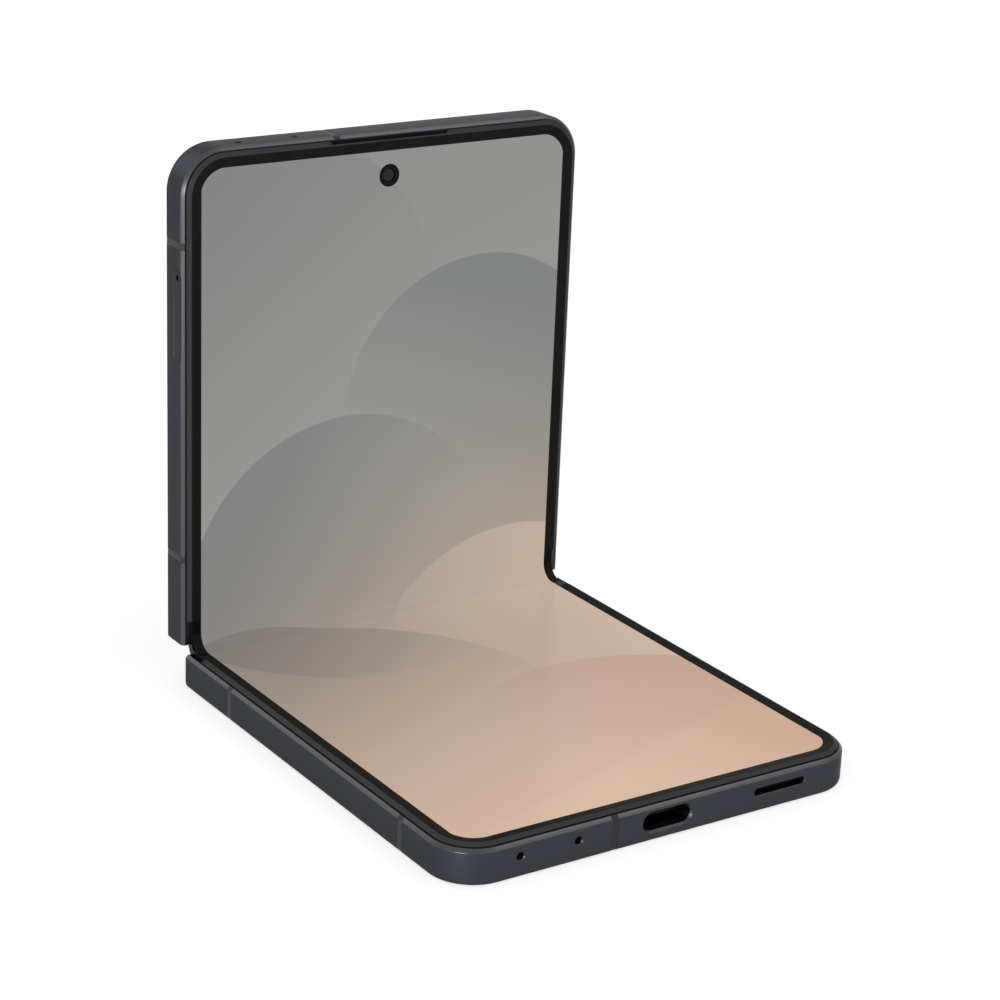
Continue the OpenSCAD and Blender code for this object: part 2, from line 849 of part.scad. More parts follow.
module charge_coil() {
    h = cavity_z + battery_lift - coil_lift - glue_z;
    color("#b5713c") in_base() translate([0, coil_s, glue_z + coil_lift]) difference() {
        cylinder(r = coil_r, h = h);
        translate([0, 0, -cut_past]) cylinder(r = coil_r - coil_band, h = h + 2 * cut_past);
    }
}

module base_antenna_breaks() {
    color("#33343a") in_base() breaks_at([break_near, break_far]);
}

module base_hinge_brackets() {
    color("#85878c") at_fold(0)
        hinge_brackets(base_rail_x, base_sector_x, -90 - idler_a);
}

module base_hinge_screws() {
    color("#b0b2b6") in_base() bracket_screws();
}

// ---------------------------------------------------------------- hinge

// Cover bar: half a tube, with notches in its rims for the arms
module hinge_cover() {
    end_x = hinge_half - cap_t;
    color("#55575d") in_hinge() difference() {
        along_x(-end_x, end_x) difference() {
            circle(cover_r, $fn = 96);
            circle(cover_in_r, $fn = 96);
            translate([-cover_r - 1, rim_v]) square([2 * cover_r + 2, cover_r + 2]);
        }
        for (side = [-1, 1]) {
            rim_notch(side, -1, base_rail_x, rail_w);
            rim_notch(side, -1, base_sector_x, sector_w);
            rim_notch(side, 1, lid_rail_x, rail_w);
            rim_notch(side, 1, lid_sector_x, sector_w);
            for (x = block_screw_x) translate([side * x, 0, -cover_r])
                cylinder(r = block_screw_r + fit_gap, h = 2 * cover_t + cut_past);
        }
    }
}

// Notch for an arm: side is left or right, half is -1 at the base's rim and 1 at the lid's
module rim_notch(side, half, x, w) {
    low = arm_v - arm_gap;
    x0 = side > 0 ? x : -x - w;
    y0 = half > 0 ? notch_from : -cover_r - cut_past;
    block([x0 - side_play, y0, low],
          [x0 + w + side_play, y0 + cover_r + cut_past - notch_from, cut_past]);
}

// Blocks that the rails slide round, and that hold the idlers' shafts
module hinge_rail_blocks() {
    color("#77797f") in_hinge() difference() {
        union() for (side = [0, 1]) mirror([side, 0, 0]) {
            rail_block(module_x, chamber_x - block_gap, base_rail_x);
            rail_block(chamber_end_x + block_gap, module_end_x, lid_rail_x);
        }
        for (side = [-1, 1]) {
            translate([0, idler_d * side * sin(idler_a), -idler_d * cos(idler_a)])
                both_sides(chamber_x - bearing_w, chamber_end_x + bearing_w)
                    circle(shaft_r + run_gap);
            for (x = block_screw_x) translate([side * x, 0, -cover_r - cut_past])
                cylinder(r = block_screw_r + fit_gap,
                         h = cut_past + block_screw_sink + block_screw_len + fit_gap);
        }
    }
}

// One block, with a channel for a rail
module rail_block(x0, x1, rail_x) {
    difference() {
        along_x(x0, x1) half_disc(cover_in_r, block_v);
        along_x(rail_x - arm_gap, rail_x + rail_w + arm_gap) difference() {
            circle(cover_r, $fn = 96);
            circle(rail_in_r - run_gap, $fn = 96);
        }
    }
}

// The part of a disc below a level
module half_disc(r, level) {
    difference() {
        circle(r, $fn = 96);
        translate([-r - 1, level]) square([2 * r + 2, 2 * r]);
    }
}

module hinge_end_caps() {
    color("#1b1b1d") in_hinge() both_sides(hinge_half - cap_t, hinge_half)
        half_disc(cover_r, rim_v);
}

// Middle block with the pins that the detent springs sit on
module hinge_spring_anchor() {
    color("#6d6f75") in_hinge() {
        along_x(-anchor_w / 2, anchor_w / 2) half_disc(cover_in_r, block_v);
        for (u = [-spring_u, spring_u])
            translate([0, u, spring_level]) both_sides(anchor_w / 2 - eps, spring_end_x - pin_short)
                circle(spring_r - spring_wire - pin_gap);
    }
}

module detent_springs() {
    color("#c7c9cc") in_hinge() for (u = [-spring_u, spring_u])
        translate([0, u, spring_level]) both_sides(anchor_w / 2 + fit_gap, spring_end_x)
            difference() {
                circle(spring_r);
                circle(spring_r - spring_wire);
            }
}

module hinge_screws() {
    color("#b0b2b6") in_hinge() for (side = [-1, 1], x = block_screw_x)
        translate([side * x, 0, -cover_r + block_screw_sink])
            cylinder(r = block_screw_r, h = block_screw_len);
}

// The stretch of screen that bends: an arc between the two flat panels
module display_fold_strip() {
    w = half_w - panel_in;
    color("#b3a48f") in_hinge() translate([0, 0, fold_v]) along_x(-w, w) intersection() {
        difference() {
            circle(fold_r + screen_t, $fn = 128);
            circle(fold_r, $fn = 128);
        }
        wedge_2d(fold_r + screen_t, -90 - half_turn, -90 + half_turn);
    }
}

// Soft black strips along the two edges of that stretch
module fold_edge_strips() {
    color("#1e1e1f") in_hinge() translate([0, 0, fold_v])
        both_sides(half_w - screen_in + edge_strip_out, half_w - panel_in) intersection() {
            difference() {
                circle(fold_r, $fn = 128);
                circle(fold_r - edge_strip_t, $fn = 128);
            }
            wedge_2d(fold_r, -90 - half_turn, -90 + half_turn);
        }
}

module idler_gears_base() {
    color("#c8b26a") in_hinge() idler_gears(-1, base_sector_x - idler_past, mesh_x + mesh_w);
}

module idler_gears_lid() {
    color("#bfa65c") in_hinge() idler_gears(1, mesh_x, lid_sector_x + sector_w + idler_past);
}

// ---------------------------------------------------------------- lid

// Earpiece slot: a notch with slanting ends in the outer slope of the trim's crown
module ear_notch() {
    outer_s = half_len - trim_in + eps;
    translate([0, 0, panel_z + glue_gap]) linear_extrude(half_t) polygon([
        [-ear_len / 2, outer_s], [ear_len / 2, outer_s],
        [ear_len / 2 - ear_w, outer_s - ear_w], [-ear_len / 2 + ear_w, outer_s - ear_w]]);
}

module lid_frame() {
    color("#4c4d54") in_lid() difference() {
        half_frame();
        for (x = mic_x) end_port(x, lid_port_level, port_depth) circle(mic_r);
        side_port(1, volume_s, key_level, port_depth)
            slot_2d(volume_len + 2 * run_gap, key_h + 2 * run_gap);
        side_port(1, power_s, key_level, port_depth)
            slot_2d(power_len + 2 * run_gap, key_h + 2 * run_gap);
        side_port(-1, tray_s, tray_level, tray_head_t + tray_head_gap)
            slot_2d(tray_len + 2 * run_gap, tray_h + 2 * run_gap);
        side_port(-1, tray_s, tray_level - tray_body_drop, port_depth)
            square([tray_len - tray_h + tray_mouth_more, tray_body_h + 2 * lip_gap], center = true);
    }
}

// A round hole through the glass and the cover screen, in x, s
module back_hole(x, s, r) {
    translate([x, s, -cut_past]) cylinder(r = r, h = inner_back + 2 * cut_past);
}

module lid_cover_glass() {
    color("#101114") in_lid() difference() {
        half_slab(glass_inset + fit_gap, glass_start, 0, glass_t);
        for (x = rear_cam_x) back_hole(x, rear_cam_s, ring_r + fit_gap);
        back_hole(flash_x, flash_s, flash_r + fit_gap);
    }
}

module cover_screen() {
    color("#1a1c22") in_lid() difference() {
        half_slab(cover_screen_in, cover_screen_start, glass_t, inner_back);
        for (x = rear_cam_x) back_hole(x, rear_cam_s, lens_r + lens_gap);
        back_hole(flash_x, flash_s, flash_r + flash_gap);
    }
}

module lid_glass_seal() {
    color("#202022") in_lid() glass_seal();
}

module lid_screen_trim() {
    color("#2d2d2e") in_lid() difference() {
        screen_trim();
        ear_notch();
    }
}

module lid_mid_plate() {
    color("#8f9196") in_lid() difference() {
        mid_plate();
        translate([0, front_cam_s, plate_z - cut_past])
            cylinder(r = front_cam_r + front_barrel_gap, h = plate_t + 2 * cut_past);
    }
}

module lid_support_wing() {
    color("#9a9ca0") in_lid() support_wing();
}

module display_upper_panel() {
    color("#8f938c") in_lid() difference() {
        screen_panel();
        translate([0, front_cam_s, panel_z - cut_past])
            cylinder(r = front_cam_r, h = screen_t + 2 * cut_past);
    }
}

module main_board() {
    c = camera_box / 2 + camera_room;
    color("#1b4530") in_lid() difference() {
        half_slab(board_in, upper_battery_end + battery_gap, main_board_z, main_board_top);
        block([half_w - wall_t - key_room[0], 0, 0],
              [half_w, volume_s + volume_len / 2 + key_room[1], half_t]);
        for (x = rear_cam_x) block([x - c, rear_cam_s - c, 0], [x + c, rear_cam_s + c, half_t]);
    }
}

module board_shields() {
    color("#a9abaf") in_lid() {
        rounded_block([tray_depth + shield_past_tray - half_w, shield_s, main_board_top],
                      [shield_x[0], rear_cam_s - shield_to_camera, plate_z - shield_gap],
                      shield_round);
        rounded_block([shield_x[1], shield_s, main_board_top],
                      [half_w - shield_side, flash_s - flash_r, plate_z - shield_gap],
                      shield_round);
    }
}

module battery_upper() {
    color("#2b2c30") in_lid()
        rounded_block([-upper_battery_w / 2, battery_start, inner_back + battery_lift],
                      [upper_battery_w / 2, upper_battery_end, plate_z - fit_gap], battery_round);
}

module front_camera() {
    c = front_box / 2;
    barrel_z = plate_z - front_top_gap - eps;
    color("#17181b") in_lid() {
        rounded_block([-c, front_cam_s - c, main_board_top],
                      [c, front_cam_s + c, plate_z - front_top_gap], front_round);
        translate([0, front_cam_s, barrel_z])
            cylinder(r = front_cam_r - front_barrel_gap, h = panel_z + glue_gap - barrel_z);
    }
}

module rear_cameras() {
    c = camera_box / 2;
    color("#1c1d20") in_lid() for (x = rear_cam_x) {
        rounded_block([x - c, rear_cam_s - c, inner_back],
                      [x + c, rear_cam_s + c, plate_z - camera_top_gap], shield_round);
        translate([x, rear_cam_s, -lens_proud])
            cylinder(r = lens_r, h = inner_back + lens_proud + eps);
    }
}

module camera_rings() {
    color("#5b5d63") in_lid() for (x = rear_cam_x) translate([x, rear_cam_s, -ring_proud])
        rotate_extrude() polygon([
            [ring_r - ring_wall, 0], [ring_r - ring_edge, 0], [ring_r, ring_edge],
            [ring_r, ring_proud + glass_t], [ring_r - ring_wall, ring_proud + glass_t]]);
}

module camera_glasses() {
    color("#08090b") in_lid() for (x = rear_cam_x)
        translate([x, rear_cam_s, -ring_proud + camera_glass_sink])
            cylinder(r = ring_r - ring_wall - 2 * eps, h = camera_glass_t);
}

module flash_window() {
    color("#e9e4cf") in_lid() translate([flash_x, flash_s, 0])
        cylinder(r = flash_r, h = glass_t + flash_rise);
}

module lid_microphones() {
    color("#c2b27a") in_lid() for (x = mic_x)
        rounded_block([x - mic_box[0], board_end - mic_box[1], main_board_top],
                      [x + mic_box[0], board_end - glue_gap, lid_port_level + mic_above],
                      mic_round);
}

module earpiece() {
    color("#242528") in_lid()
        rounded_block([mic_x[1] + mic_box[0] + ear_past_mic, board_end - ear_back, main_board_top],
                      [-front_box / 2 - ear_past_camera, board_end, shelf_z], module_round);
}

// Card tray: head in the frame's slot, plate with two card wells
module sim_tray() {
    color("#4f5056") in_lid() difference() {
        union() {
            translate([-half_w, tray_s, tray_level]) rotate([90, 0, 90])
                linear_extrude(tray_head_t) slot_2d(tray_len, tray_h);
            block([-half_w + tray_head_t - eps, tray_plate_s[0], tray_body_z],
                  [-half_w + tray_depth, tray_plate_s[1], tray_body_z + tray_body_h]);
        }
        block([-half_w + tray_well_start, tray_plate_s[0] + tray_well_wall,
               tray_body_z + tray_well_floor],
              [-half_w + tray_depth - tray_well_wall, tray_plate_s[1] - tray_well_wall,
               tray_body_z + tray_body_h + cut_past]);
        translate([-half_w - cut_past, ejector_s, tray_level + ejector_lift]) rotate([0, 90, 0])
            cylinder(r = ejector_r, h = tray_head_t + 2 * cut_past);
    }
}

// Sheet cage on the main board that the tray slides into
module sim_cage() {
    x0 = -half_w + shelf_in + cage_start;
    back_x = -half_w + tray_depth;
    g = cage_gap;
    color("#aeb0b4") in_lid() difference() {
        block([x0, tray_plate_s[0] - g - cage_wall, main_board_top],
              [back_x + cage_stop[1], tray_plate_s[1] + g + cage_wall,
               tray_body_z + tray_body_h + g + cage_roof]);
        block([x0 - cut_past, tray_plate_s[0] - g, tray_body_z - g],
              [back_x + cage_stop[0], tray_plate_s[1] + g, tray_body_z + tray_body_h + g]);
    }
}

// A key in a side slot: face outside, collar and stem inside
module side_key(s, len) {
    translate([half_w + key_proud, s, key_level]) rotate([90, 0, -90])
        linear_extrude(key_proud + wall_t - key_back_gap) slot_2d(len, key_h);
}

module volume_key() {
    color("#55565d") in_lid() side_key(volume_s, volume_len);
}

module power_key() {
    color("#55565d") in_lid() side_key(power_s, power_len);
}

// Strip with the switches behind the keys
module key_switches() {
    face_x = half_w - wall_t;
    back_x = face_x - strip_back;
    start = power_s - power_len / 2 - strip_past;
    end = volume_s + volume_len / 2 + strip_past;
    between = (volume_s - volume_len / 2 + power_s + power_len / 2 - post_len) / 2;
    color("#b98a3c") in_lid() {
        block([back_x, start, key_level - strip_half_h],
              [back_x + strip_t, end, key_level + strip_half_h]);
        for (s = [start, end - post_len, between])
            block([back_x + strip_t - eps, s, key_level - strip_half_h],
                  [face_x, s + post_len, key_level + strip_half_h]);
        for (s = [power_s, volume_s - volume_len / 4, volume_s + volume_len / 4])
            block([back_x + strip_t - eps, s - switch_half[0], key_level - switch_half[1]],
                  [face_x - key_travel - switch_stop, s + switch_half[0],
                   key_level + switch_half[1]]);
    }
}

module lid_antenna_breaks() {
    color("#33343a") in_lid() breaks_at([break_near, break_far]);
}

module lid_hinge_brackets() {
    color("#85878c") at_fold(fold) mirror([0, 1, 0])
        hinge_brackets(lid_rail_x, lid_sector_x, -90 - idler_a + 180 / sector_teeth);
}

module lid_hinge_screws() {
    color("#b0b2b6") in_lid() bracket_screws();
}

base_frame();
base_back_glass();
base_screen_trim();
base_mid_plate();
base_support_wing();
display_lower_panel();
battery_lower();
sub_board();
usb_c_shell();
usb_c_tongue();
loudspeaker();
base_microphones();
vibration_motor();
base_antenna_breaks();
base_hinge_brackets();
base_hinge_screws();
base_glass_seal();
charge_coil();
hinge_cover();
hinge_rail_blocks();
hinge_end_caps();
hinge_spring_anchor();
detent_springs();
hinge_screws();
display_fold_strip();
fold_edge_strips();
idler_gears_base();
idler_gears_lid();
lid_frame();
lid_cover_glass();
cover_screen();
lid_screen_trim();
lid_mid_plate();
lid_support_wing();
display_upper_panel();
main_board();
board_shields();
battery_upper();
front_camera();
rear_cameras();
camera_rings();
camera_glasses();
flash_window();
lid_microphones();
earpiece();
sim_cage();
key_switches();
lid_antenna_breaks();
lid_hinge_brackets();
lid_hinge_screws();
lid_glass_seal();
volume_key();
power_key();
sim_tray();
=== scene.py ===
"""Looks of a folding clamshell smartphone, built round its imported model.

Sizes are in millimetres and become metres when a mesh is made. A half is drawn in x across the
phone, s away from the fold line and t up from its back face. The hinge is drawn in x, u and v,
with u from the lower half to the upper one and v out of the screen.
"""
import json
import logging
import math
from dataclasses import dataclass, field
from enum import Enum
from typing import Callable, Sequence

import bmesh
import bpy
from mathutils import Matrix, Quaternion, Vector

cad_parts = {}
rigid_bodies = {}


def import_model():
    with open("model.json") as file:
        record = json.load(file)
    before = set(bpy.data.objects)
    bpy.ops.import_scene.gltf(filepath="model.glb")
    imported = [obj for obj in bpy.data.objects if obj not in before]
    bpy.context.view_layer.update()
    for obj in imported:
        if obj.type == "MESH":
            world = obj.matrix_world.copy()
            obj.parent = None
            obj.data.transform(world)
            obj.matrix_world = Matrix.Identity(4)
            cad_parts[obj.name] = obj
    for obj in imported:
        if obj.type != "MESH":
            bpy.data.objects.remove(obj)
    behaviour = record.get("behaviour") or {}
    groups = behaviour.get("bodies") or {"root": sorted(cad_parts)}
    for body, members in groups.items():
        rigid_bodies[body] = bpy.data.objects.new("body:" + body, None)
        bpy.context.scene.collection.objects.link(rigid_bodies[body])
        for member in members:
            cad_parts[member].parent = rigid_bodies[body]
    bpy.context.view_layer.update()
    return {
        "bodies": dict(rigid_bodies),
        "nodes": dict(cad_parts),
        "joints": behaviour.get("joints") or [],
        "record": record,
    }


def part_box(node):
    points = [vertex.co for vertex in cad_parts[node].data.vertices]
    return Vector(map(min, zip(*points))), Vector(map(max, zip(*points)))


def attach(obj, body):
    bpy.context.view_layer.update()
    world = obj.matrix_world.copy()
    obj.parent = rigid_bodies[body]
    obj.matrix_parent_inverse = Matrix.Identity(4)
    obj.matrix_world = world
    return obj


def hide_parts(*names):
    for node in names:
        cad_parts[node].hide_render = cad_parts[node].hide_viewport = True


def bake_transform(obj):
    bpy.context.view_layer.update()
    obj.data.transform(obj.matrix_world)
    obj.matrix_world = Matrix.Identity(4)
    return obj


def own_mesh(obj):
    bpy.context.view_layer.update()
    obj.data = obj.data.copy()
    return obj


LOG = logging.getLogger("phone")
MM = 0.001
Point2 = tuple[float, float]
Colour = tuple[float, float, float]


# ------------------------------------------------------------------ sizes and places


class Half(Enum):
    """The two halves of the phone, by the name of their body."""

    BASE = "base"
    LID = "lid"


@dataclass(frozen=True)
class Sizes:
    """Driving sizes of the phone, in millimetres."""

    half_w: float
    half_len: float
    hinge_y: float
    axis_t: float
    half_t: float = 6.5
    corner_r: float = 7.5
    seam_s: float = 0.15
    back_r: float = 0.85
    rail_drop: float = 0.63
    chamfer_w: float = 0.5
    chamfer_h: float = 0.54
    lip_w: float = 0.12
    trim_gap: float = 0.12
    trim_w: float = 2.39
    trim_foot: float = 0.86
    trim_start: float = 4.5
    screen_drop: float = 0.25
    screen_t: float = 0.45
    plate_t: float = 0.5
    shelf_t: float = 0.4
    wall_t: float = 2.2
    glass_t: float = 0.6
    glass_inset: float = 1.3
    glass_start: float = 2.0
    glue_t: float = 0.1
    fit: float = 0.05
    floor_len: float = 12.0
    floor_top: float = 2.9
    sweep_r: float = 5.15

    @classmethod
    def from_frame(cls, joints: Sequence[dict]) -> "Sizes":
        """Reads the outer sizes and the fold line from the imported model.

        Args:
            joints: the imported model's joints.

        Returns:
            The phone's sizes.
        """
        low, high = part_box("base_frame")
        pivot = next(j for j in joints if j["name"] == "lid_turn")["pos_m"]
        hinge_y, axis_t = pivot[1] / MM, pivot[2] / MM
        return cls(half_w=high.x / MM, half_len=hinge_y - low.y / MM, hinge_y=hinge_y,
                   axis_t=axis_t)

    @property
    def rail_z(self) -> float:
        """Height of the frame's top edge."""
        return self.half_t - self.rail_drop

    @property
    def screen_z(self) -> float:
        """Height of the screen's surface."""
        return self.half_t - self.screen_drop

    @property
    def panel_z(self) -> float:
        """Height of the screen's underside."""
        return self.screen_z - self.screen_t

    @property
    def plate_z(self) -> float:
        """Height of the mid plate's underside."""
        return self.panel_z - self.plate_t

    @property
    def glue_z(self) -> float:
        """Height of the glue line's top."""
        return self.glass_t + self.glue_t

    @property
    def lip_in(self) -> float:
        """Inset of the frame's lip."""
        return self.chamfer_w + self.lip_w

    @property
    def trim_in(self) -> float:
        """Inset of the screen trim's outer edge."""
        return self.lip_in + self.trim_gap

    @property
    def panel_in(self) -> float:
        """Inset of the screen panel."""
        return self.trim_in + self.trim_foot + self.fit

    @property
    def screen_in(self) -> float:
        """Inset of the screen's visible edge."""
        return self.trim_in + self.trim_w

    @property
    def fold_c(self) -> float:
        """Depth of the screen's surface below the fold line."""
        return self.axis_t - self.screen_z

    @property
    def fold_r(self) -> float:
        """Radius of the folded screen with the phone at a right angle."""
        return self.fold_c / (1 - math.pi / 4)

    @property
    def fold_v(self) -> float:
        """Height of that radius's centre above the fold line."""
        return (self.fold_r - self.fold_c) * math.sqrt(2)

    def at(self, half: Half, x: float, s: float, t: float) -> Vector:
        """Puts a point of a half in the row's frame.

        Args:
            half: the half that it lies on.
            x: its place across the phone.
            s: its distance from the fold line.
            t: its height over the half's back face.

        Returns:
            The point, in metres.
        """
        if half is Half.BASE:
            return Vector((x, self.hinge_y - s, t)) * MM
        return Vector((x, self.hinge_y + self.axis_t - t, self.axis_t + s)) * MM

    def at_hinge(self, x: float, u: float, v: float) -> Vector:
        """Puts a point of the hinge in the row's frame, in metres."""
        turn = math.sqrt(0.5)
        return Vector((x, self.hinge_y + (u - v) * turn, self.axis_t + (u + v) * turn)) * MM


@dataclass(frozen=True)
class Station:
    """A place on a half's outline, and the way in from it."""

    x: float
    s: float
    in_x: float
    in_s: float

    def inset(self, depth: float) -> Point2:
        """The point at a depth inside this place."""
        return self.x + self.in_x * depth, self.s + self.in_s * depth


@dataclass(frozen=True)
class Outline:
    """Outline of a half, walked from its left hinge end round the free end to the right one."""

    sizes: Sizes
    s_from: float
    corner_steps: int = 24

    @property
    def straight(self) -> float:
        """Length of one straight side."""
        return self.sizes.half_len - self.sizes.corner_r - self.s_from

    @property
    def bend(self) -> float:
        """Length of one corner."""
        return self.sizes.corner_r * math.pi / 2

    @property
    def across(self) -> float:
        """Length of the straight part of the free end."""
        return 2 * (self.sizes.half_w - self.sizes.corner_r)

    @property
    def length(self) -> float:
        """Length of the whole walk."""
        return 2 * (self.straight + self.bend) + self.across

    def side_run(self, side: int, s: float) -> float:
        """How far along the walk a place on a side lies; side is -1 or 1."""
        run = s - self.s_from
        return run if side < 0 else self.length - run

    def end_run(self, x: float) -> float:
        """How far along the walk a place on the free end lies."""
        return self.length / 2 + x

    def station(self, run: float) -> Station:
        """Finds a place on the outline.

        Args:
            run: distance along the walk.

        Returns:
            The place there.
        """
        z = self.sizes
        mirrored = run > self.length / 2
        near = self.length - run if mirrored else run
        if near <= self.straight:
            place = Station(-z.half_w, self.s_from + near, 1, 0)
        elif near <= self.straight + self.bend:
            turn = (near - self.straight) / z.corner_r
            out_x, out_s = -math.cos(turn), math.sin(turn)
            place = Station(-(z.half_w - z.corner_r) + z.corner_r * out_x,
                            z.half_len - z.corner_r + z.corner_r * out_s, -out_x, -out_s)
        else:
            along = near - self.straight - self.bend
            place = Station(-(z.half_w - z.corner_r) + along, z.half_len, 0, -1)
        return Station(-place.x, place.s, -place.in_x, place.in_s) if mirrored else place

    def stations(self, start: float, end: float, extra: Sequence[float] = ()) -> list[Station]:
        """The places from one distance to another.

        Args:
            start: distance of the first place.
            end: distance of the last place.
            extra: more distances to stop at.

        Returns:
            The places in order, close together only round the corners.
        """
        first = self.straight
        second = self.length - self.straight - self.bend
        stops = {start, end, *extra}
        for corner in (first, second):
            stops |= {corner + self.bend * k / self.corner_steps
                      for k in range(self.corner_steps + 1)}
        return [self.station(run) for run in sorted(stops) if start <= run <= end]


def rounded(points: Sequence[Point2], radii: Sequence[float], steps: int = 6) -> list[Point2]:
    """Rounds the corners of a closed section.

    Args:
        points: the section's corners.
        radii: the radius at each corner, 0 to leave it sharp.
        steps: segments in each rounded corner.

    Returns:
        The section's points.
    """
    out: list[Point2] = []
    count = len(points)
    for k, (corner, radius) in enumerate(zip(points, radii)):
        here = Vector(corner)
        back = Vector(points[k - 1]) - here
        ahead = Vector(points[(k + 1) % count]) - here
        if radius <= 0:
            out.append(tuple(here))
            continue
        angle = back.angle(ahead)
        reach = radius / math.tan(angle / 2)
        start, end = here + back.normalized() * reach, here + ahead.normalized() * reach
        middle = here + (back.normalized() + ahead.normalized()).normalized() * (
            radius / math.sin(angle / 2))
        first = math.atan2(*(start - middle).yx)
        sweep = math.atan2(*(end - middle).yx) - first
        sweep = (sweep + math.pi) % (2 * math.pi) - math.pi
        for i in range(steps + 1):
            a = first + sweep * i / steps
            out.append((middle.x + radius * math.cos(a), middle.y + radius * math.sin(a)))
    return out


def slot_outline(length: float, height: float, steps: int = 12) -> list[Point2]:
    """Draws a slot with round ends, about its middle.

    Args:
        length: the slot's length over its ends.
        height: the slot's height.
        steps: segments in each end.

    Returns:
        The slot's points.
    """
    r = height / 2
    reach = length / 2 - r
    turns = [math.pi * k / steps for k in range(steps + 1)]
    right = [(reach + r * math.sin(a), -r * math.cos(a)) for a in turns]
    return right + [(-x, -y) for x, y in right]


# ------------------------------------------------------------------ meshes


class Draft:
    """Points and faces of a piece, in metres, until it becomes an object."""

    def __init__(self) -> None:
        """Starts with no points and no faces."""
        self.points: list[Vector] = []
        self.faces: list[tuple[int, ...]] = []

    def loft(self, rings: Sequence[Sequence[Vector]], looped: bool = False) -> "Draft":
        """Joins closed rings of points, and closes the ends unless they loop round.

        Args:
            rings: rings with the same number of points.
            looped: whether the last ring joins the first.

        Returns:
            This draft.
        """
        start, n = len(self.points), len(rings[0])
        for ring in rings:
            self.points.extend(ring)
        last = len(rings) if looped else len(rings) - 1
        for k in range(last):
            a, b = start + k * n, start + (k + 1) % len(rings) * n
            self.faces.extend((a + i, a + (i + 1) % n, b + (i + 1) % n, b + i) for i in range(n))
        if not looped:
            self.faces.append(tuple(range(start + n - 1, start - 1, -1)))
            end = start + (len(rings) - 1) * n
            self.faces.append(tuple(range(end, end + n)))
        return self

    def build(self, name: str, smooth_deg: float = 32.0) -> bpy.types.Object:
        """Makes the object, with its normals out and its flat-meeting edges sharp.

        Args:
            name: the piece's name.
            smooth_deg: edges that turn more than this stay sharp.

        Returns:
            The new object.
        """
        mesh = bpy.data.meshes.new(name)
        mesh.from_pydata([tuple(p) for p in self.points], [], self.faces)
        work = bmesh.new()
        work.from_mesh(mesh)
        bmesh.ops.remove_doubles(work, verts=work.verts, dist=1e-7)
        bmesh.ops.recalc_face_normals(work, faces=work.faces)
        work.to_mesh(mesh)
        work.free()
        obj = bpy.data.objects.new(name, mesh)
        bpy.context.scene.collection.objects.link(obj)
        shade(mesh, smooth_deg)
        return obj


def shade(mesh: bpy.types.Mesh, smooth_deg: float) -> None:
    """Shades a mesh smooth except across edges that turn more than an angle."""
    mesh.shade_smooth()
    mesh.set_sharp_from_angle(angle=math.radians(smooth_deg))


def carve(obj: bpy.types.Object, cutters: Sequence[bpy.types.Object],
          smooth_deg: float = 32.0) -> bpy.types.Object:
    """Cuts other objects out of a piece, and removes them.

    Args:
        obj: the piece to cut.
        cutters: closed objects to cut away.
        smooth_deg: edges that turn more than this are sharp afterwards.

    Returns:
        The cut piece.
    """
    for cutter in cutters:
        cut = obj.modifiers.new("cut", "BOOLEAN")
        cut.operation, cut.solver, cut.object = "DIFFERENCE", "EXACT", cutter
    depsgraph = bpy.context.evaluated_depsgraph_get()
    mesh = bpy.data.meshes.new_from_object(obj.evaluated_get(depsgraph))
    obj.modifiers.clear()
    old, obj.data = obj.data, mesh
    bpy.data.meshes.remove(old)
    for cutter in cutters:
        bpy.data.objects.remove(cutter)
    shade(mesh, smooth_deg)
    return obj


def circle(x: float, y: float, radius: float, steps: int = 64) -> list[Point2]:
    """Points of a circle."""
    turns = (2 * math.pi * k / steps for k in range(steps))
    return [(x + radius * math.cos(a), y + radius * math.sin(a)) for a in turns]


def quarter(steps: int) -> list[float]:
    """Angles from 0 to a right angle, in equal steps."""
    return [math.pi / 2 * k / steps for k in range(steps + 1)]


def lathe(profile: Sequence[Point2], place: Callable[[float, float, float], Vector],
          x: float, s: float, steps: int = 64) -> list[list[Vector]]:
    """Rings of a turned piece that stands on a half.

    Args:
        profile: closed section, as radius and height.
        place: puts x, s and t in the row's frame.
        x: the axis's place across the phone.
        s: the axis's distance from the fold line.
        steps: places round the axis.

    Returns:
        One ring for each place round the axis.
    """
    turns = [2 * math.pi * k / steps for k in range(steps)]
    return [[place(x + r * math.cos(a), s + r * math.sin(a), t) for r, t in profile]
            for a in turns]


def join(kept: bpy.types.Object, added: bpy.types.Object) -> None:
    """Joins one object's mesh into another's, and removes it.

    Args:
        kept: the object that gets the mesh.
        added: the object that is joined to it.
    """
    work = bmesh.new()
    work.from_mesh(kept.data)
    work.from_mesh(added.data)
    work.to_mesh(kept.data)
    work.free()
    bpy.data.objects.remove(added)


# ------------------------------------------------------------------ finishes


class Kind(Enum):
    """How a finish is made."""

    GRAIN = "fine_grain"
    BRUSHED = "brush_lines"


@dataclass(frozen=True)
class Finish:
    """One finish of the phone's surfaces."""

    name: str
    colour: Colour
    rough: float
    metallic: float = 0.0
    kind: Kind = Kind.GRAIN
    scale: float = 9000.0
    spread: float = 0.05
    tint: float = 0.08
    bump: float = 0.05
    coat: float = 0.0
    coat_rough: float = 0.05
    specular: float = 0.5
    edge_tint: float = 1.0


@dataclass(frozen=True)
class Disc:
    """One translucent disc of the screen's picture, in millimetres on the flat screen."""

    x: float
    y: float
    radius: float
    shade: Colour
    strength: float
    lean_deg: float


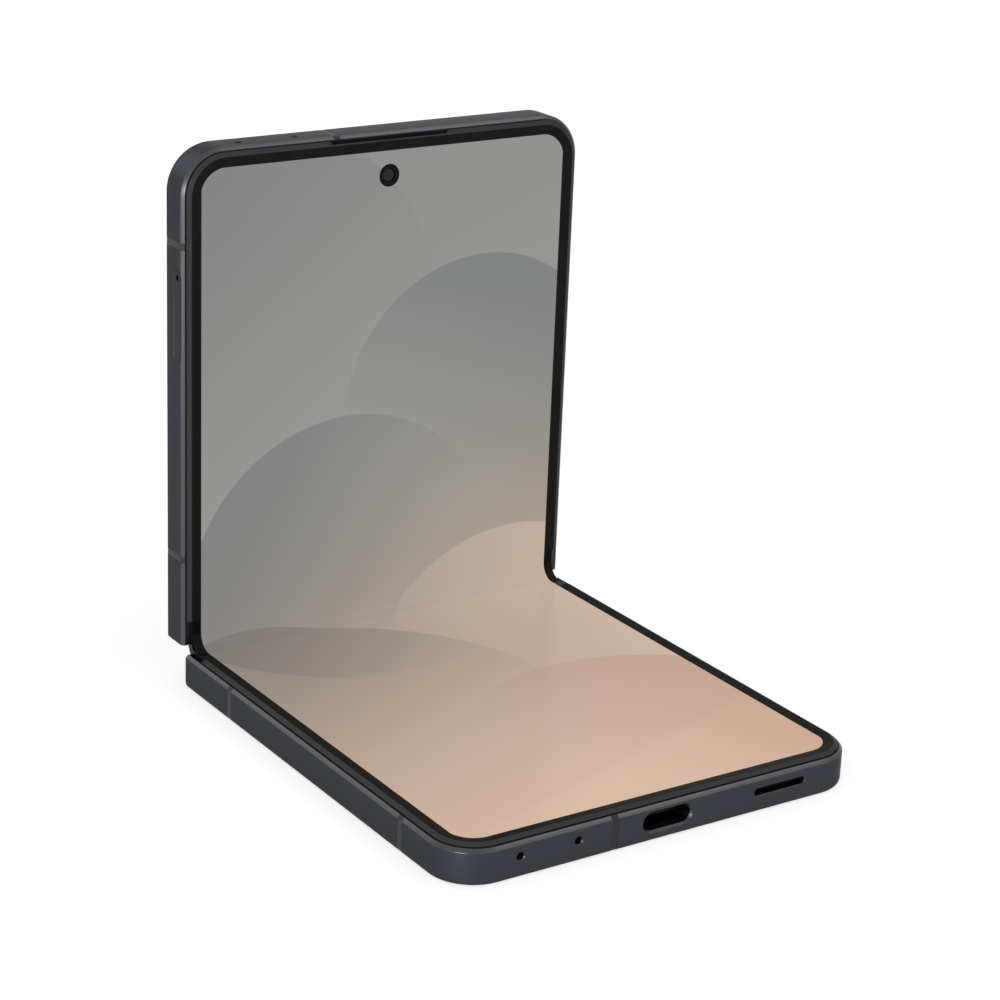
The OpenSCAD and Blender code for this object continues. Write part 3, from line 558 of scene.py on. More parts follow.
class Wires:
    """Adds nodes to one shader tree, with their inputs set or linked."""

    def __init__(self, tree: bpy.types.NodeTree) -> None:
        """Takes the tree."""
        self.tree = tree

    def feed(self, node: bpy.types.Node, feeds: dict[str | int, object]) -> None:
        """Sets or links a node's inputs.

        Args:
            node: the node.
            feeds: what goes into its inputs: values, or other nodes' outputs.
        """
        for socket, value in feeds.items():
            if isinstance(value, bpy.types.NodeSocket):
                self.tree.links.new(value, node.inputs[socket])
            else:
                node.inputs[socket].default_value = value

    def add(self, kind: str, feeds: dict[str | int, object] | None = None,
            **settings: object) -> bpy.types.Node:
        """Adds a node.

        Args:
            kind: the node's type, after the words that all types begin with.
            feeds: what goes into its inputs.
            settings: the node's own settings.

        Returns:
            The node.
        """
        node = self.tree.nodes.new(f"ShaderNode{kind}")
        for name, value in settings.items():
            setattr(node, name, value)
        self.feed(node, feeds or {})
        return node

    def maths(self, operation: str, *feeds: object) -> bpy.types.NodeSocket:
        """The result of a sum on numbers."""
        return self.add("Math", dict(enumerate(feeds)), operation=operation).outputs[0]

    def vector(self, operation: str, *feeds: object) -> bpy.types.Node:
        """A node that does a sum on vectors."""
        return self.add("VectorMath", dict(enumerate(feeds)), operation=operation)


class Groups:
    """The shader groups that materials share, each built once."""

    grain_detail = 3.0
    drift_scale = 45.0
    drift_detail = 2.0
    line_stretch = (0.03, 1.0, 1.0)
    disc_edge = 0.25
    disc_fade = (-0.75, 1.0)

    def __init__(self) -> None:
        """Builds the groups."""
        self.by_kind = {kind: self._surface(kind) for kind in Kind}
        self.disc = self._disc()

    @staticmethod
    def _start(name: str, ins: dict[str, str], outs: dict[str, str]
               ) -> tuple[Wires, bpy.types.NodeOutputs, bpy.types.Node]:
        """Makes a group with its named sockets.

        Args:
            name: the group's name.
            ins: what kind each input is, by its name.
            outs: what kind each output is, by its name.

        Returns:
            The group's wires, what comes into it, and the node that ends it.
        """
        tree = bpy.data.node_groups.new(name, "ShaderNodeTree")
        for way, sockets in (("INPUT", ins), ("OUTPUT", outs)):
            for label, kind in sockets.items():
                tree.interface.new_socket(name=label, in_out=way,
                                          socket_type=f"NodeSocket{kind}")
        new = tree.nodes.new
        return Wires(tree), new("NodeGroupInput").outputs, new("NodeGroupOutput")

    def _surface(self, kind: Kind) -> bpy.types.ShaderNodeTree:
        """Makes fine grain, or fine lines along x, with a slow drift of the tint.

        Args:
            kind: grain or lines.

        Returns:
            The group.
        """
        w, given, end = self._start(
            kind.value,
            {"Color": "Color", "Roughness": "Float", "Scale": "Float", "Spread": "Float",
             "Tint": "Float"},
            {"Color": "Color", "Roughness": "Float", "Height": "Float"})
        where = w.add("TexCoord").outputs["Object"]
        stretch = self.line_stretch if kind is Kind.BRUSHED else (1.0, 1.0, 1.0)
        fine = w.add("TexNoise", {
            "Vector": w.vector("MULTIPLY", where, stretch).outputs[0],
            "Scale": given["Scale"], "Detail": self.grain_detail}).outputs["Fac"]
        slow = w.add("TexNoise", {"Vector": where, "Scale": self.drift_scale,
                                  "Detail": self.drift_detail}).outputs["Fac"]
        tone = self._about(w, slow, 1.0, given["Tint"])
        w.feed(end, {
            "Color": w.add("VectorMath", {0: given["Color"], "Scale": tone},
                           operation="SCALE").outputs[0],
            "Roughness": self._about(w, fine, given["Roughness"], given["Spread"]),
            "Height": fine})
        return w.tree

    @staticmethod
    def _about(w: Wires, noise: bpy.types.NodeSocket, middle: object,
               spread: bpy.types.NodeSocket) -> bpy.types.NodeSocket:
        """A middle value plus the noise's swing about a half times a spread."""
        return w.maths("MULTIPLY_ADD", w.maths("SUBTRACT", noise, 0.5), spread, middle)

    def _disc(self) -> bpy.types.ShaderNodeTree:
        """Lays one translucent disc over a picture, darkest at its leaning edge.

        Returns:
            The group.
        """
        w, given, end = self._start(
            "picture_disc",
            {"Picture": "Color", "Shade": "Color", "Place": "Vector", "Middle": "Vector",
             "Lean": "Vector", "Radius": "Float", "Strength": "Float"},
            {"Picture": "Color"})
        out = w.vector("SUBTRACT", given["Place"], given["Middle"]).outputs[0]
        reach = w.vector("LENGTH", out).outputs["Value"]
        edge = w.add("MapRange", {"Value": w.maths("SUBTRACT", given["Radius"], reach),
                                  "From Max": self.disc_edge},
                     interpolation_type="SMOOTHSTEP").outputs[0]
        lean = w.vector("DOT_PRODUCT", out, given["Lean"]).outputs["Value"]
        fade = w.add("MapRange", {"Value": w.maths("DIVIDE", lean, given["Radius"]),
                                  "From Min": self.disc_fade[0],
                                  "From Max": self.disc_fade[1]},
                     interpolation_type="SMOOTHSTEP").outputs[0]
        share = w.maths("MULTIPLY", w.maths("MULTIPLY", edge, fade), given["Strength"])
        mix = w.add("Mix", {"Factor": share, "A": given["Picture"], "B": given["Shade"]},
                    data_type="RGBA")
        w.feed(end, {"Picture": mix.outputs["Result"]})
        return w.tree


def new_material(name: str) -> tuple[bpy.types.Material, Wires, bpy.types.Node]:
    """Makes a material.

    Args:
        name: the material's name.

    Returns:
        The material, the wires of its tree and its shader.
    """
    made = bpy.data.materials.new(name)
    made.use_nodes = True
    return made, Wires(made.node_tree), made.node_tree.nodes["Principled BSDF"]


def srgb(red: int, green: int, blue: int) -> Colour:
    """Puts a colour as seen on a screen in linear light.

    Args:
        red: its red, from 0 to 255.
        green: its green.
        blue: its blue.

    Returns:
        The colour, from 0 to 1.
    """
    def linear(value: int) -> float:
        """One channel in linear light."""
        part = value / 255
        return part / 12.92 if part <= 0.04045 else ((part + 0.055) / 1.055) ** 2.4
    return linear(red), linear(green), linear(blue)


class Workshop:
    """Makes each material once."""

    bump_depth = 0.02

    def __init__(self) -> None:
        """Builds the shared groups."""
        self.groups = Groups()
        self.made: dict[str, bpy.types.Material] = {}

    def material(self, finish: Finish) -> bpy.types.Material:
        """The material of a finish.

        Args:
            finish: the finish to make.

        Returns:
            Its material.
        """
        if finish.name in self.made:
            return self.made[finish.name]
        made, w, shader = new_material(finish.name)
        surface = w.add("Group", {
            "Color": (*finish.colour, 1), "Roughness": finish.rough, "Scale": finish.scale,
            "Spread": finish.spread, "Tint": finish.tint},
            node_tree=self.groups.by_kind[finish.kind]).outputs
        bump = w.add("Bump", {"Strength": finish.bump, "Distance": self.bump_depth * MM,
                              "Height": surface["Height"]})
        w.feed(shader, {
            "Metallic": finish.metallic, "Coat Weight": finish.coat,
            "Coat Roughness": finish.coat_rough, "Specular IOR Level": finish.specular,
            "Specular Tint": (*[finish.edge_tint] * 3, 1), "Base Color": surface["Color"],
            "Roughness": surface["Roughness"], "Normal": bump.outputs["Normal"]})
        self.made[finish.name] = made
        return made

    def dress(self, obj: bpy.types.Object, finish: Finish) -> None:
        """Gives an object one finish all over."""
        obj.data.materials.clear()
        obj.data.materials.append(self.material(finish))


ANODISED = Finish("anodised_frame", srgb(61, 62, 67), 0.36, metallic=1.0, bump=0.12, tint=0.1,
                  edge_tint=0.55)
# Lighter copy of the frame's metal: its colour is a painted highlight on the chamfer.
CHAMFER_HIGHLIGHT = Finish("chamfer_painted_highlight", srgb(76, 77, 81), 0.3, metallic=1.0, bump=0.05, tint=0.06,
                  edge_tint=0.8)
BAND = Finish("antenna_band", srgb(27, 28, 31), 0.5, bump=0.1, specular=0.3)
TRIM = Finish("trim_plastic", srgb(25, 25, 25), 0.5, bump=0.15, scale=6000, specular=0.03)
EDGE_FILM = Finish("edge_film", srgb(17, 17, 18), 0.5, bump=0.1, specular=0.05)
COVER_BAR = Finish("hinge_bar", srgb(80, 81, 89), 0.3, metallic=0.9, kind=Kind.BRUSHED, bump=0.1)
BACK_GLASS = Finish("etched_glass", srgb(62, 63, 68), 0.42, coat=0.15, coat_rough=0.35, bump=0.1)
COVER_GLASS = Finish("black_glass", srgb(9, 9, 11), 0.08, coat=0.6, bump=0.0, tint=0.02,
                     spread=0.02)
LENS = Finish("lens_glass", srgb(6, 6, 9), 0.04, coat=0.3, coat_rough=0.02, spread=0.02, bump=0,
              specular=0.25)
LENS_TINT = Finish("lens_coating", srgb(12, 15, 25), 0.12, coat=0.1, coat_rough=0.02, bump=0,
                   specular=0.2)
SCREEN_BACK = Finish("screen_backing", srgb(20, 20, 22), 0.6, bump=0.08, specular=0.1)
# Lighter copy of the trim's plastic: its colour is a painted highlight on the outer slope.
TRIM_HIGHLIGHT = Finish("trim_painted_highlight", srgb(54, 54, 55), 0.45, bump=0.1, scale=6000, specular=0.05)
BLACK = Finish("moulded_black", srgb(16, 16, 18), 0.5, bump=0.12, specular=0.2)
DEEP = Finish("bore_black", srgb(7, 7, 8), 0.75, specular=0.1)
# The socket shell's dark colour is painted shade inside the charging socket.
NICKEL_PAINTED_SHADE = Finish("nickel_painted_shade", srgb(38, 38, 41), 0.4, metallic=1.0)
STEEL = Finish("rolled_steel", srgb(140, 142, 147), 0.36, metallic=1.0, kind=Kind.BRUSHED)
DARK_STEEL = Finish("sintered_steel", srgb(70, 71, 75), 0.45, metallic=0.9)
GOLD = Finish("gold_plate", srgb(205, 165, 88), 0.25, metallic=1.0)
COPPER = Finish("copper_wire", srgb(186, 112, 66), 0.3, metallic=1.0, kind=Kind.BRUSHED)
BOARD = Finish("solder_mask", srgb(24, 74, 50), 0.3, coat=0.3)
FOIL = Finish("battery_pouch", srgb(46, 47, 52), 0.42, coat=0.1)
GLUE = Finish("glue_foam", srgb(34, 34, 36), 0.85, bump=0.3)
FLEX = Finish("polyimide", srgb(168, 104, 44), 0.3, coat=0.4)
FLASH = Finish("flash_window", srgb(226, 220, 196), 0.3, coat=0.6)
KEY = Finish("anodised_key", srgb(80, 81, 89), 0.3, metallic=0.9, bump=0.12)

SLOT_FINISH = {
    "frame": ANODISED, "cover_bar": COVER_BAR, "back_glass": BACK_GLASS,
    "cover_glass": COVER_GLASS, "trim": TRIM, "edge_film": EDGE_FILM, "plate": STEEL,
    "glue": GLUE, "battery": FOIL, "board": BOARD, "socket": NICKEL_PAINTED_SHADE, "tongue": BLACK,
    "module_black": BLACK, "can": STEEL, "mic": GOLD, "coil": COPPER, "antenna": BAND,
    "hinge_steel": DARK_STEEL, "spring_steel": STEEL, "screw": STEEL, "cap": BLACK,
    "gear": GOLD, "ring": ANODISED, "lens": LENS, "flash": FLASH, "key": KEY,
    "tray": ANODISED, "flex": FLEX, "screen_cover": BLACK}
NODE_FINISH = {"hinge_screws": COVER_BAR}


class Screen:
    """The picture on the folding screen: a slow gradient under large translucent discs."""

    cool = srgb(142, 143, 141)
    pale = srgb(154, 153, 149)
    sand = srgb(164, 151, 138)
    peach = srgb(214, 182, 160)
    border = 0.14
    cover = (0.004, 0.004, 0.005, 1)
    cover_rough = 0.22
    cover_specular = 0.04
    gradient = (0.0022, -0.0066, 0)
    stops = ((0.0, cool), (0.34, pale), (0.55, sand), (0.95, peach))
    facing = 0.1
    discs = (
        Disc(-24, 52, 34, srgb(114, 116, 115), 0.5, 135),
        Disc(19, 34, 27, srgb(108, 113, 115), 0.55, 62),
        Disc(-7, 6, 30, srgb(106, 110, 113), 0.55, 155),
        Disc(27, -20, 31, srgb(222, 196, 178), 0.42, 40),
        Disc(-26, -36, 37, srgb(112, 106, 102), 0.5, 118),
        Disc(14, -66, 33, srgb(182, 142, 118), 0.55, 20),
    )

    def __init__(self, sizes: Sizes, shop: Workshop) -> None:
        """Makes the lit material and the dark one behind it.

        Args:
            sizes: the phone's sizes.
            shop: makes the materials.
        """
        self.sizes = sizes
        self.material = self._material(shop)
        self.backing = shop.material(SCREEN_BACK)

    def _material(self, shop: Workshop) -> bpy.types.Material:
        """Makes the screen's cover with the lit picture under it.

        Args:
            shop: has the group that draws a disc.

        Returns:
            The material.
        """
        z = self.sizes
        made, w, shader = new_material("lit_screen")
        place = w.vector("MULTIPLY_ADD", w.add("UVMap", uv_map="flat").outputs["UV"],
                         (2 * z.half_w, 2 * z.half_len, 0),
                         (-z.half_w, -z.half_len, 0)).outputs[0]
        along = w.vector("DOT_PRODUCT", place, self.gradient).outputs["Value"]
        ramp = w.add("ValToRGB", {"Fac": w.maths("ADD", along, 0.5)})
        ramp.color_ramp.interpolation = "B_SPLINE"
        marks = ramp.color_ramp.elements
        marks.remove(marks[-1])
        marks[0].position, marks[0].color = self.stops[0][0], (*self.stops[0][1], 1)
        for position, colour in self.stops[1:]:
            marks.new(position).color = (*colour, 1)
        picture = ramp.outputs["Color"]
        for disc in self.discs:
            lean = math.radians(disc.lean_deg)
            picture = w.add("Group", {
                "Picture": picture, "Shade": (*disc.shade, 1), "Place": place,
                "Middle": (disc.x, disc.y, 0), "Lean": (math.cos(lean), math.sin(lean), 0),
                "Radius": disc.radius, "Strength": disc.strength},
                node_tree=shop.groups.disc).outputs["Picture"]
        across = w.maths("ABSOLUTE", w.add("SeparateXYZ", {0: place}).outputs["X"])
        lit = w.maths("LESS_THAN", across, z.half_w - z.screen_in - self.border)
        shown = w.add("Mix", {"Factor": lit, "A": (0, 0, 0, 1), "B": picture},
                      data_type="RGBA")
        w.feed(shader, {
            "Base Color": self.cover, "Roughness": self.cover_rough,
            "Specular IOR Level": self.cover_specular, "Emission Strength": 1.0,
            "Emission Color": shown.outputs["Result"]})
        return made

    def light(self, obj: bpy.types.Object, out: Vector, flat_s: Callable[[Vector], float]
              ) -> None:
        """Lights a piece of screen, darkens its back, and maps its picture.

        Args:
            obj: the piece of screen.
            out: the way that its lit face looks.
            flat_s: gives a point's signed distance from the fold, up the flat screen.
        """
        z, mesh = self.sizes, obj.data
        mesh.materials.clear()
        mesh.materials.append(self.material)
        mesh.materials.append(self.backing)
        for face in mesh.polygons:
            face.material_index = 0 if face.normal.dot(out.normalized()) > self.facing else 1
        layer = mesh.uv_layers.new(name="flat")
        for loop in mesh.loops:
            at = mesh.vertices[loop.vertex_index].co / MM
            layer.data[loop.index].uv = (0.5 + at.x / (2 * z.half_w),
                                         0.5 + flat_s(at) / (2 * z.half_len))


# ------------------------------------------------------------------ sub-assemblies


@dataclass
class Assembly:
    """What every sub-assembly needs."""

    sizes: Sizes
    shop: Workshop
    done: list[str] = field(default_factory=list)

    def hand_in(self, obj: bpy.types.Object, finish: Finish, body: str, slot: str,
                *replaced: str) -> bpy.types.Object:
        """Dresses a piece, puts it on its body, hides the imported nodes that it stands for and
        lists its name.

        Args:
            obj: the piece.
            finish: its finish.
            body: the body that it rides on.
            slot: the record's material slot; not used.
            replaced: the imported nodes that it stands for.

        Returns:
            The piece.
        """
        self.shop.dress(obj, finish)
        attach(obj, body)
        if replaced:
            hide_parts(*replaced)
        self.done.append(obj.name)
        return obj

    def paint_slope_highlight(self, obj: bpy.types.Object, half: Half, finish: Finish, above: float,
                      tilt: tuple[float, float]) -> None:
        """Gives the slopes along a piece's top edge a finish of their own.

        Args:
            obj: the piece.
            half: the half that it lies on.
            finish: the lighter finish whose colour paints the highlight.
            above: height that the slopes lie over.
            tilt: least and most share of a slope's normal that looks out of the screen.
        """
        back = self.sizes.at(half, 0, 0, 0)
        out = (self.sizes.at(half, 0, 0, 1) - back) / MM
        obj.data.materials.append(self.shop.material(finish))
        for face in obj.data.polygons:
            high = (face.center - back).dot(out) / MM > above
            # Faces that look out and up get the lighter colour: a painted highlight.
            if high and tilt[0] < face.normal.dot(out) < tilt[1]:
                face.material_index = 1


@dataclass
class FrameHalf(Assembly):
    """Metal frame of one half, with its antenna bands, ports and hinge floor."""

    half: Half = Half.BASE
    break_w: float = 1.2
    breaks_s: tuple[float, float] = (15.3, 68.0)
    break_x: float = -9.7
    seam: float = 0.02
    end_round: float = 1.0
    mic_x: tuple[float, float] = (-26.4, -16.2)
    mic_r: float = 0.6
    mic_drop: float = 0.0
    hair: float = 0.001
    port_level: float = 3.5
    port_depth: float = 3.6
    port_run_up: float = 0.3
    plate_in: float = 2.4
    shelf_in: float = 3.4
    glue_in: float = 3.0
    rounds: tuple[float, float, float, float] = (0.06, 0.22, 0.1, 0.04)
    end_steps: int = 8
    room_sides: int = 96
    floor_tuck: float = 0.01
    highlight_reach: float = 0.2
    highlight_tilt: tuple[float, float] = (0.2, 0.97)

    def section(self, sink: float = 0.0) -> list[Point2]:
        """The frame's section, as inset and height.

        Args:
            sink: how far the outer faces lie below the frame's own.

        Returns:
            The section's points.
        """
        z = self.sizes
        cavity_z = z.glue_z + z.shelf_t
        shelf_z = z.plate_z - z.shelf_t
        corners = [
            (z.glass_inset, sink), (sink, sink), (sink, z.rail_z - z.chamfer_h),
            (z.chamfer_w, z.rail_z - sink), (z.lip_in, z.rail_z - sink), (z.lip_in, z.panel_z),
            (self.plate_in, z.panel_z), (self.plate_in, z.plate_z), (self.shelf_in, z.plate_z),
            (self.shelf_in, shelf_z), (z.wall_t, shelf_z), (z.wall_t, cavity_z),
            (self.glue_in, cavity_z), (self.glue_in, z.glue_z), (z.glass_inset, z.glue_z)]
        foot, below, above, lip = self.rounds
        radii = [foot, z.back_r, below, above, lip]
        return rounded(corners, radii + [0.0] * (len(corners) - len(radii)))

    def _lift(self, s: float) -> float:
        """Finds the back face's height near the hinge, where its edge is rounded.

        Args:
            s: distance from the fold line.

        Returns:
            The height there.
        """
        past = self.end_round - (s - self.sizes.seam_s)
        if past <= 0:
            return 0.0
        return self.end_round - math.sqrt(max(self.end_round ** 2 - past ** 2, 0))

    def rings(self, places: Sequence[Station], section: Sequence[Point2]
              ) -> list[list[Vector]]:
        """Puts the frame's section at some places.

        Args:
            places: the places on the outline.
            section: the section, as inset and height.

        Returns:
            One ring for each place.
        """
        out = []
        for place in places:
            ends = [(*place.inset(depth), height) for depth, height in section]
            out.append([self.sizes.at(self.half, x, s, max(height, self._lift(s)))
                        for x, s, height in ends])
        return out

    def breaks(self, walk: Outline) -> list[float]:
        """Finds the antenna bands' middles.

        Args:
            walk: the frame's outline.

        Returns:
            Their distances along the walk.
        """
        near, far = self.breaks_s
        return [walk.side_run(-1, near), walk.side_run(-1, far), walk.end_run(self.break_x),
                walk.side_run(1, far), walk.side_run(1, near)]

    def port(self, outline: Callable[[float], Sequence[Point2]], level: float,
             at: float, side: int = 0, flare: float = 0.15) -> bpy.types.Object:
        """A cutter for an opening in the wall, with a small chamfer at its mouth.

        Args:
            outline: gives the opening's outline, grown by a size.
            level: height of its middle.
            at: its place, across the free end or along a side.
            side: 0 for the free end, -1 or 1 for a side.
            flare: width of the chamfer at its mouth.

        Returns:
            The cutter.
        """
        z = self.sizes
        rings = []
        for d, grow in ((-self.port_run_up, flare + self.port_run_up), (0, flare), (flare, 0),
                        (self.port_depth, 0)):
            ring = []
            for along, up in outline(grow):
                if side:
                    ring.append(z.at(self.half, side * (z.half_w - d), at + along, level + up))
                else:
                    ring.append(z.at(self.half, at + along, z.half_len - d, level + up))
            rings.append(ring)
        return Draft().loft(rings).build("cutter")

    def floor(self, steps: int = 20) -> Draft:
        """Draws the floor behind the hinge, with the cradle that the hinge cover turns in.

        Args:
            steps: segments in the cradle.

        Returns:
            The floor.
        """
        z = self.sizes
        low = z.axis_t - math.sqrt(z.sweep_r ** 2 - z.seam_s ** 2)
        first = math.asin(z.seam_s / z.sweep_r)
        last = math.acos((z.axis_t - z.floor_top) / z.sweep_r)
        cradle = [(z.sweep_r * math.sin(a), z.axis_t - z.sweep_r * math.cos(a)) for a in
                  (first + (last - first) * k / steps for k in range(1, steps + 1))]
        edge = [(z.seam_s + self.end_round * (1 - math.cos(a)),
                 self.end_round * (1 - math.sin(a))) for a in quarter(self.end_steps)]
        glass_end = z.glass_start - z.fit
        section = ([(z.seam_s, low)] + cradle + [
            (z.floor_len, z.floor_top), (z.floor_len, z.glue_z), (glass_end, z.glue_z),
            (glass_end, 0.0)] + edge[::-1])
        reach = z.half_w - z.wall_t + self.floor_tuck
        rings = [[z.at(self.half, x, s, t) for s, t in section] for x in (-reach, reach)]
        return Draft().loft(rings)

    def make(self) -> None:
        """Builds the frame's lengths, its bands and its floor."""
        z, body = self.sizes, self.half.value
        walk = Outline(z, z.seam_s)
        middles = self.breaks(walk)
        cuts = [0.0] + [m + side * self.break_w / 2 for m in middles for side in (-1, 1)]
        cuts.append(walk.length)
        near_hinge = [walk.side_run(side, z.seam_s + self.end_round * k / self.end_steps)
                      for side in (-1, 1) for k in range(1, self.end_steps + 1)]
        metal, bands = Draft(), Draft()
        for k in range(0, len(cuts), 2):
            metal.loft(self.rings(walk.stations(cuts[k], cuts[k + 1], near_hinge),
                                  self.section()))
        sunk = self.section(self.seam)
        for k in range(1, len(cuts) - 1, 2):
            bands.loft(self.rings(walk.stations(cuts[k] + self.seam, cuts[k + 1] - self.seam),
                                  sunk))
        frame = metal.build(f"{body}_frame_metal")
        carve(frame, self.cutters())
        self.hand_in(frame, ANODISED, body, "frame", f"{body}_frame")
        # The chamfer faces get the lighter colour: a painted highlight.
        self.paint_slope_highlight(frame, self.half, CHAMFER_HIGHLIGHT,
                           z.rail_z - z.chamfer_h - self.highlight_reach, self.highlight_tilt)
        self.hand_in(bands.build(f"{body}_antenna_bands"), BAND, body, "antenna",
                     f"{body}_antenna_breaks")
        self.hand_in(self.floor().build(f"{body}_hinge_floor"), ANODISED, body, "frame")

    @staticmethod
    def slot(length: float, height: float) -> Callable[[float], list[Point2]]:
        """Gives a slot's outline, grown all round by a size."""
        return lambda grow: slot_outline(length + 2 * grow, height + 2 * grow)

    def cutters(self) -> list[bpy.types.Object]:
        """Makes the openings that both frames have.

        Returns:
            Their cutters.
        """
        level = self.port_level - self.mic_drop
        hole = self.slot(2 * self.mic_r + self.hair, 2 * self.mic_r)
        return [self.port(hole, level, x) for x in self.mic_x] + [self.hinge_room()]

    def hinge_room(self) -> bpy.types.Object:
        """Makes a cutter for the room inside the walls that the hinge turns in.

        Returns:
            The cutter.
        """
        z = self.sizes
        room = circle(0, z.axis_t, z.sweep_r, self.room_sides)
        reach = z.half_w - z.wall_t
        return Draft().loft([[z.at(self.half, x, s, t) for s, t in room]
                             for x in (-reach, reach)]).build("cutter")


@dataclass
class BaseFrame(FrameHalf):
    """Lower frame: charging socket's mouth, sound slot and microphone holes."""

    usb: tuple[float, float] = (8.64, 2.86)
    usb_level: float = 3.2
    speaker: tuple[float, float] = (9.8, 1.2)
    speaker_x: float = 21.3
    usb_flare: float = 0.34
    speaker_flare: float = 0.1

    def cutters(self) -> list[bpy.types.Object]:
        """Makes the lower frame's openings.

        Returns:
            Their cutters.
        """
        return super().cutters() + [
            self.port(self.slot(*self.usb), self.usb_level, 0.0, flare=self.usb_flare),
            self.port(self.slot(*self.speaker), self.port_level, self.speaker_x,
                      flare=self.speaker_flare)]


@dataclass
class LidFrame(FrameHalf):
    """Upper frame: key slots, tray slot and microphone holes."""

    half: Half = Half.LID
    mic_drop: float = 0.1
    gap: float = 0.06
    slot_flare: float = 0.06
    key_level: float = 3.3
    key_h: float = 2.2
    keys: tuple[Point2, Point2] = ((56.0, 18.0), (32.0, 14.0))
    tray: tuple[float, float, float] = (56.45, 14.9, 2.24)
    tray_level: float = 4.25

    def cutters(self) -> list[bpy.types.Object]:
        """Makes the upper frame's openings.

        Returns:
            Their cutters.
        """
        wide = 2 * self.gap
        slots = [self.port(self.slot(length + wide, self.key_h + wide), self.key_level, s,
                           side=1, flare=self.slot_flare) for s, length in self.keys]
        s, length, height = self.tray
        slots.append(self.port(self.slot(length + wide, height + wide), self.tray_level, s,
                               side=-1, flare=self.slot_flare))
        return super().cutters() + slots


@dataclass
class ScreenTrim(Assembly):
    """Raised trim round one half's screen."""

    half: Half = Half.BASE
    ear_len: float = 22.5
    ear_w: float = 0.5
    slope_w: float = 0.73
    slope_h: float = 0.41
    seat_h: float = 0.03
    rounds: tuple[float, ...] = (0, 0.08, 0.12, 0.02, 0, 0, 0)
    highlight_reach: float = 0.45
    highlight_tilt: tuple[float, float] = (0.3, 0.96)
    mesh_low: float = 0.12
    mesh_high: float = 0.2
    mesh_gap: float = 0.02
    notch_low: float = 0.1
    notch_over: float = 0.01
    crisp_deg: float = 20

    def make(self) -> None:
        """Builds the trim, and on the upper half the earpiece's slot and its mesh."""
        z, body = self.sizes, self.half.value
        top = z.half_t
        foot_in = z.trim_in + z.trim_foot
        section = rounded(
            [(z.trim_in, z.panel_z), (z.trim_in, top - self.slope_h),
             (z.trim_in + self.slope_w, top), (z.screen_in, z.screen_z + self.seat_h),
             (z.screen_in, z.screen_z), (foot_in, z.screen_z), (foot_in, z.panel_z)],
            self.rounds)
        walk = Outline(z, z.trim_start)
        rings = [[z.at(self.half, *place.inset(depth), height) for depth, height in section]
                 for place in walk.stations(0, walk.length)]
        trim = Draft().loft(rings).build(f"{body}_screen_rim", self.crisp_deg)
        if self.half is Half.LID:
            cutter = self._notch(z.panel_z + self.notch_low, top + 1).build("cutter")
            carve(trim, [cutter], self.crisp_deg)
            mesh = self._notch(z.panel_z + self.mesh_low, z.panel_z + self.mesh_high,
                               self.mesh_gap).build("earpiece_mesh")
            self.hand_in(mesh, DEEP, body, "module_black")
        self.hand_in(trim, TRIM, body, "trim", f"{body}_screen_trim")
        # The trim's outer slope gets the lighter colour: a painted highlight.
        self.paint_slope_highlight(trim, self.half, TRIM_HIGHLIGHT, top - self.highlight_reach,
                           self.highlight_tilt)

    def _notch(self, low: float, high: float, shrink: float = 0.0) -> Draft:
        """Draws the earpiece's notch, with slanting ends.

        Args:
            low: height of its floor.
            high: height of its top.
            shrink: how far inside the notch it stays.

        Returns:
            The notch.
        """
        z = self.sizes
        outer = z.half_len - z.trim_in + (self.notch_over if shrink == 0 else -shrink)
        inner = outer - self.ear_w + 2 * shrink
        half_len = self.ear_len / 2 - shrink
        plan = [(-half_len, outer), (half_len, outer), (half_len - self.ear_w, inner),
                (-half_len + self.ear_w, inner)]
        return Draft().loft([[z.at(self.half, x, s, t) for x, s in plan] for t in (low, high)])


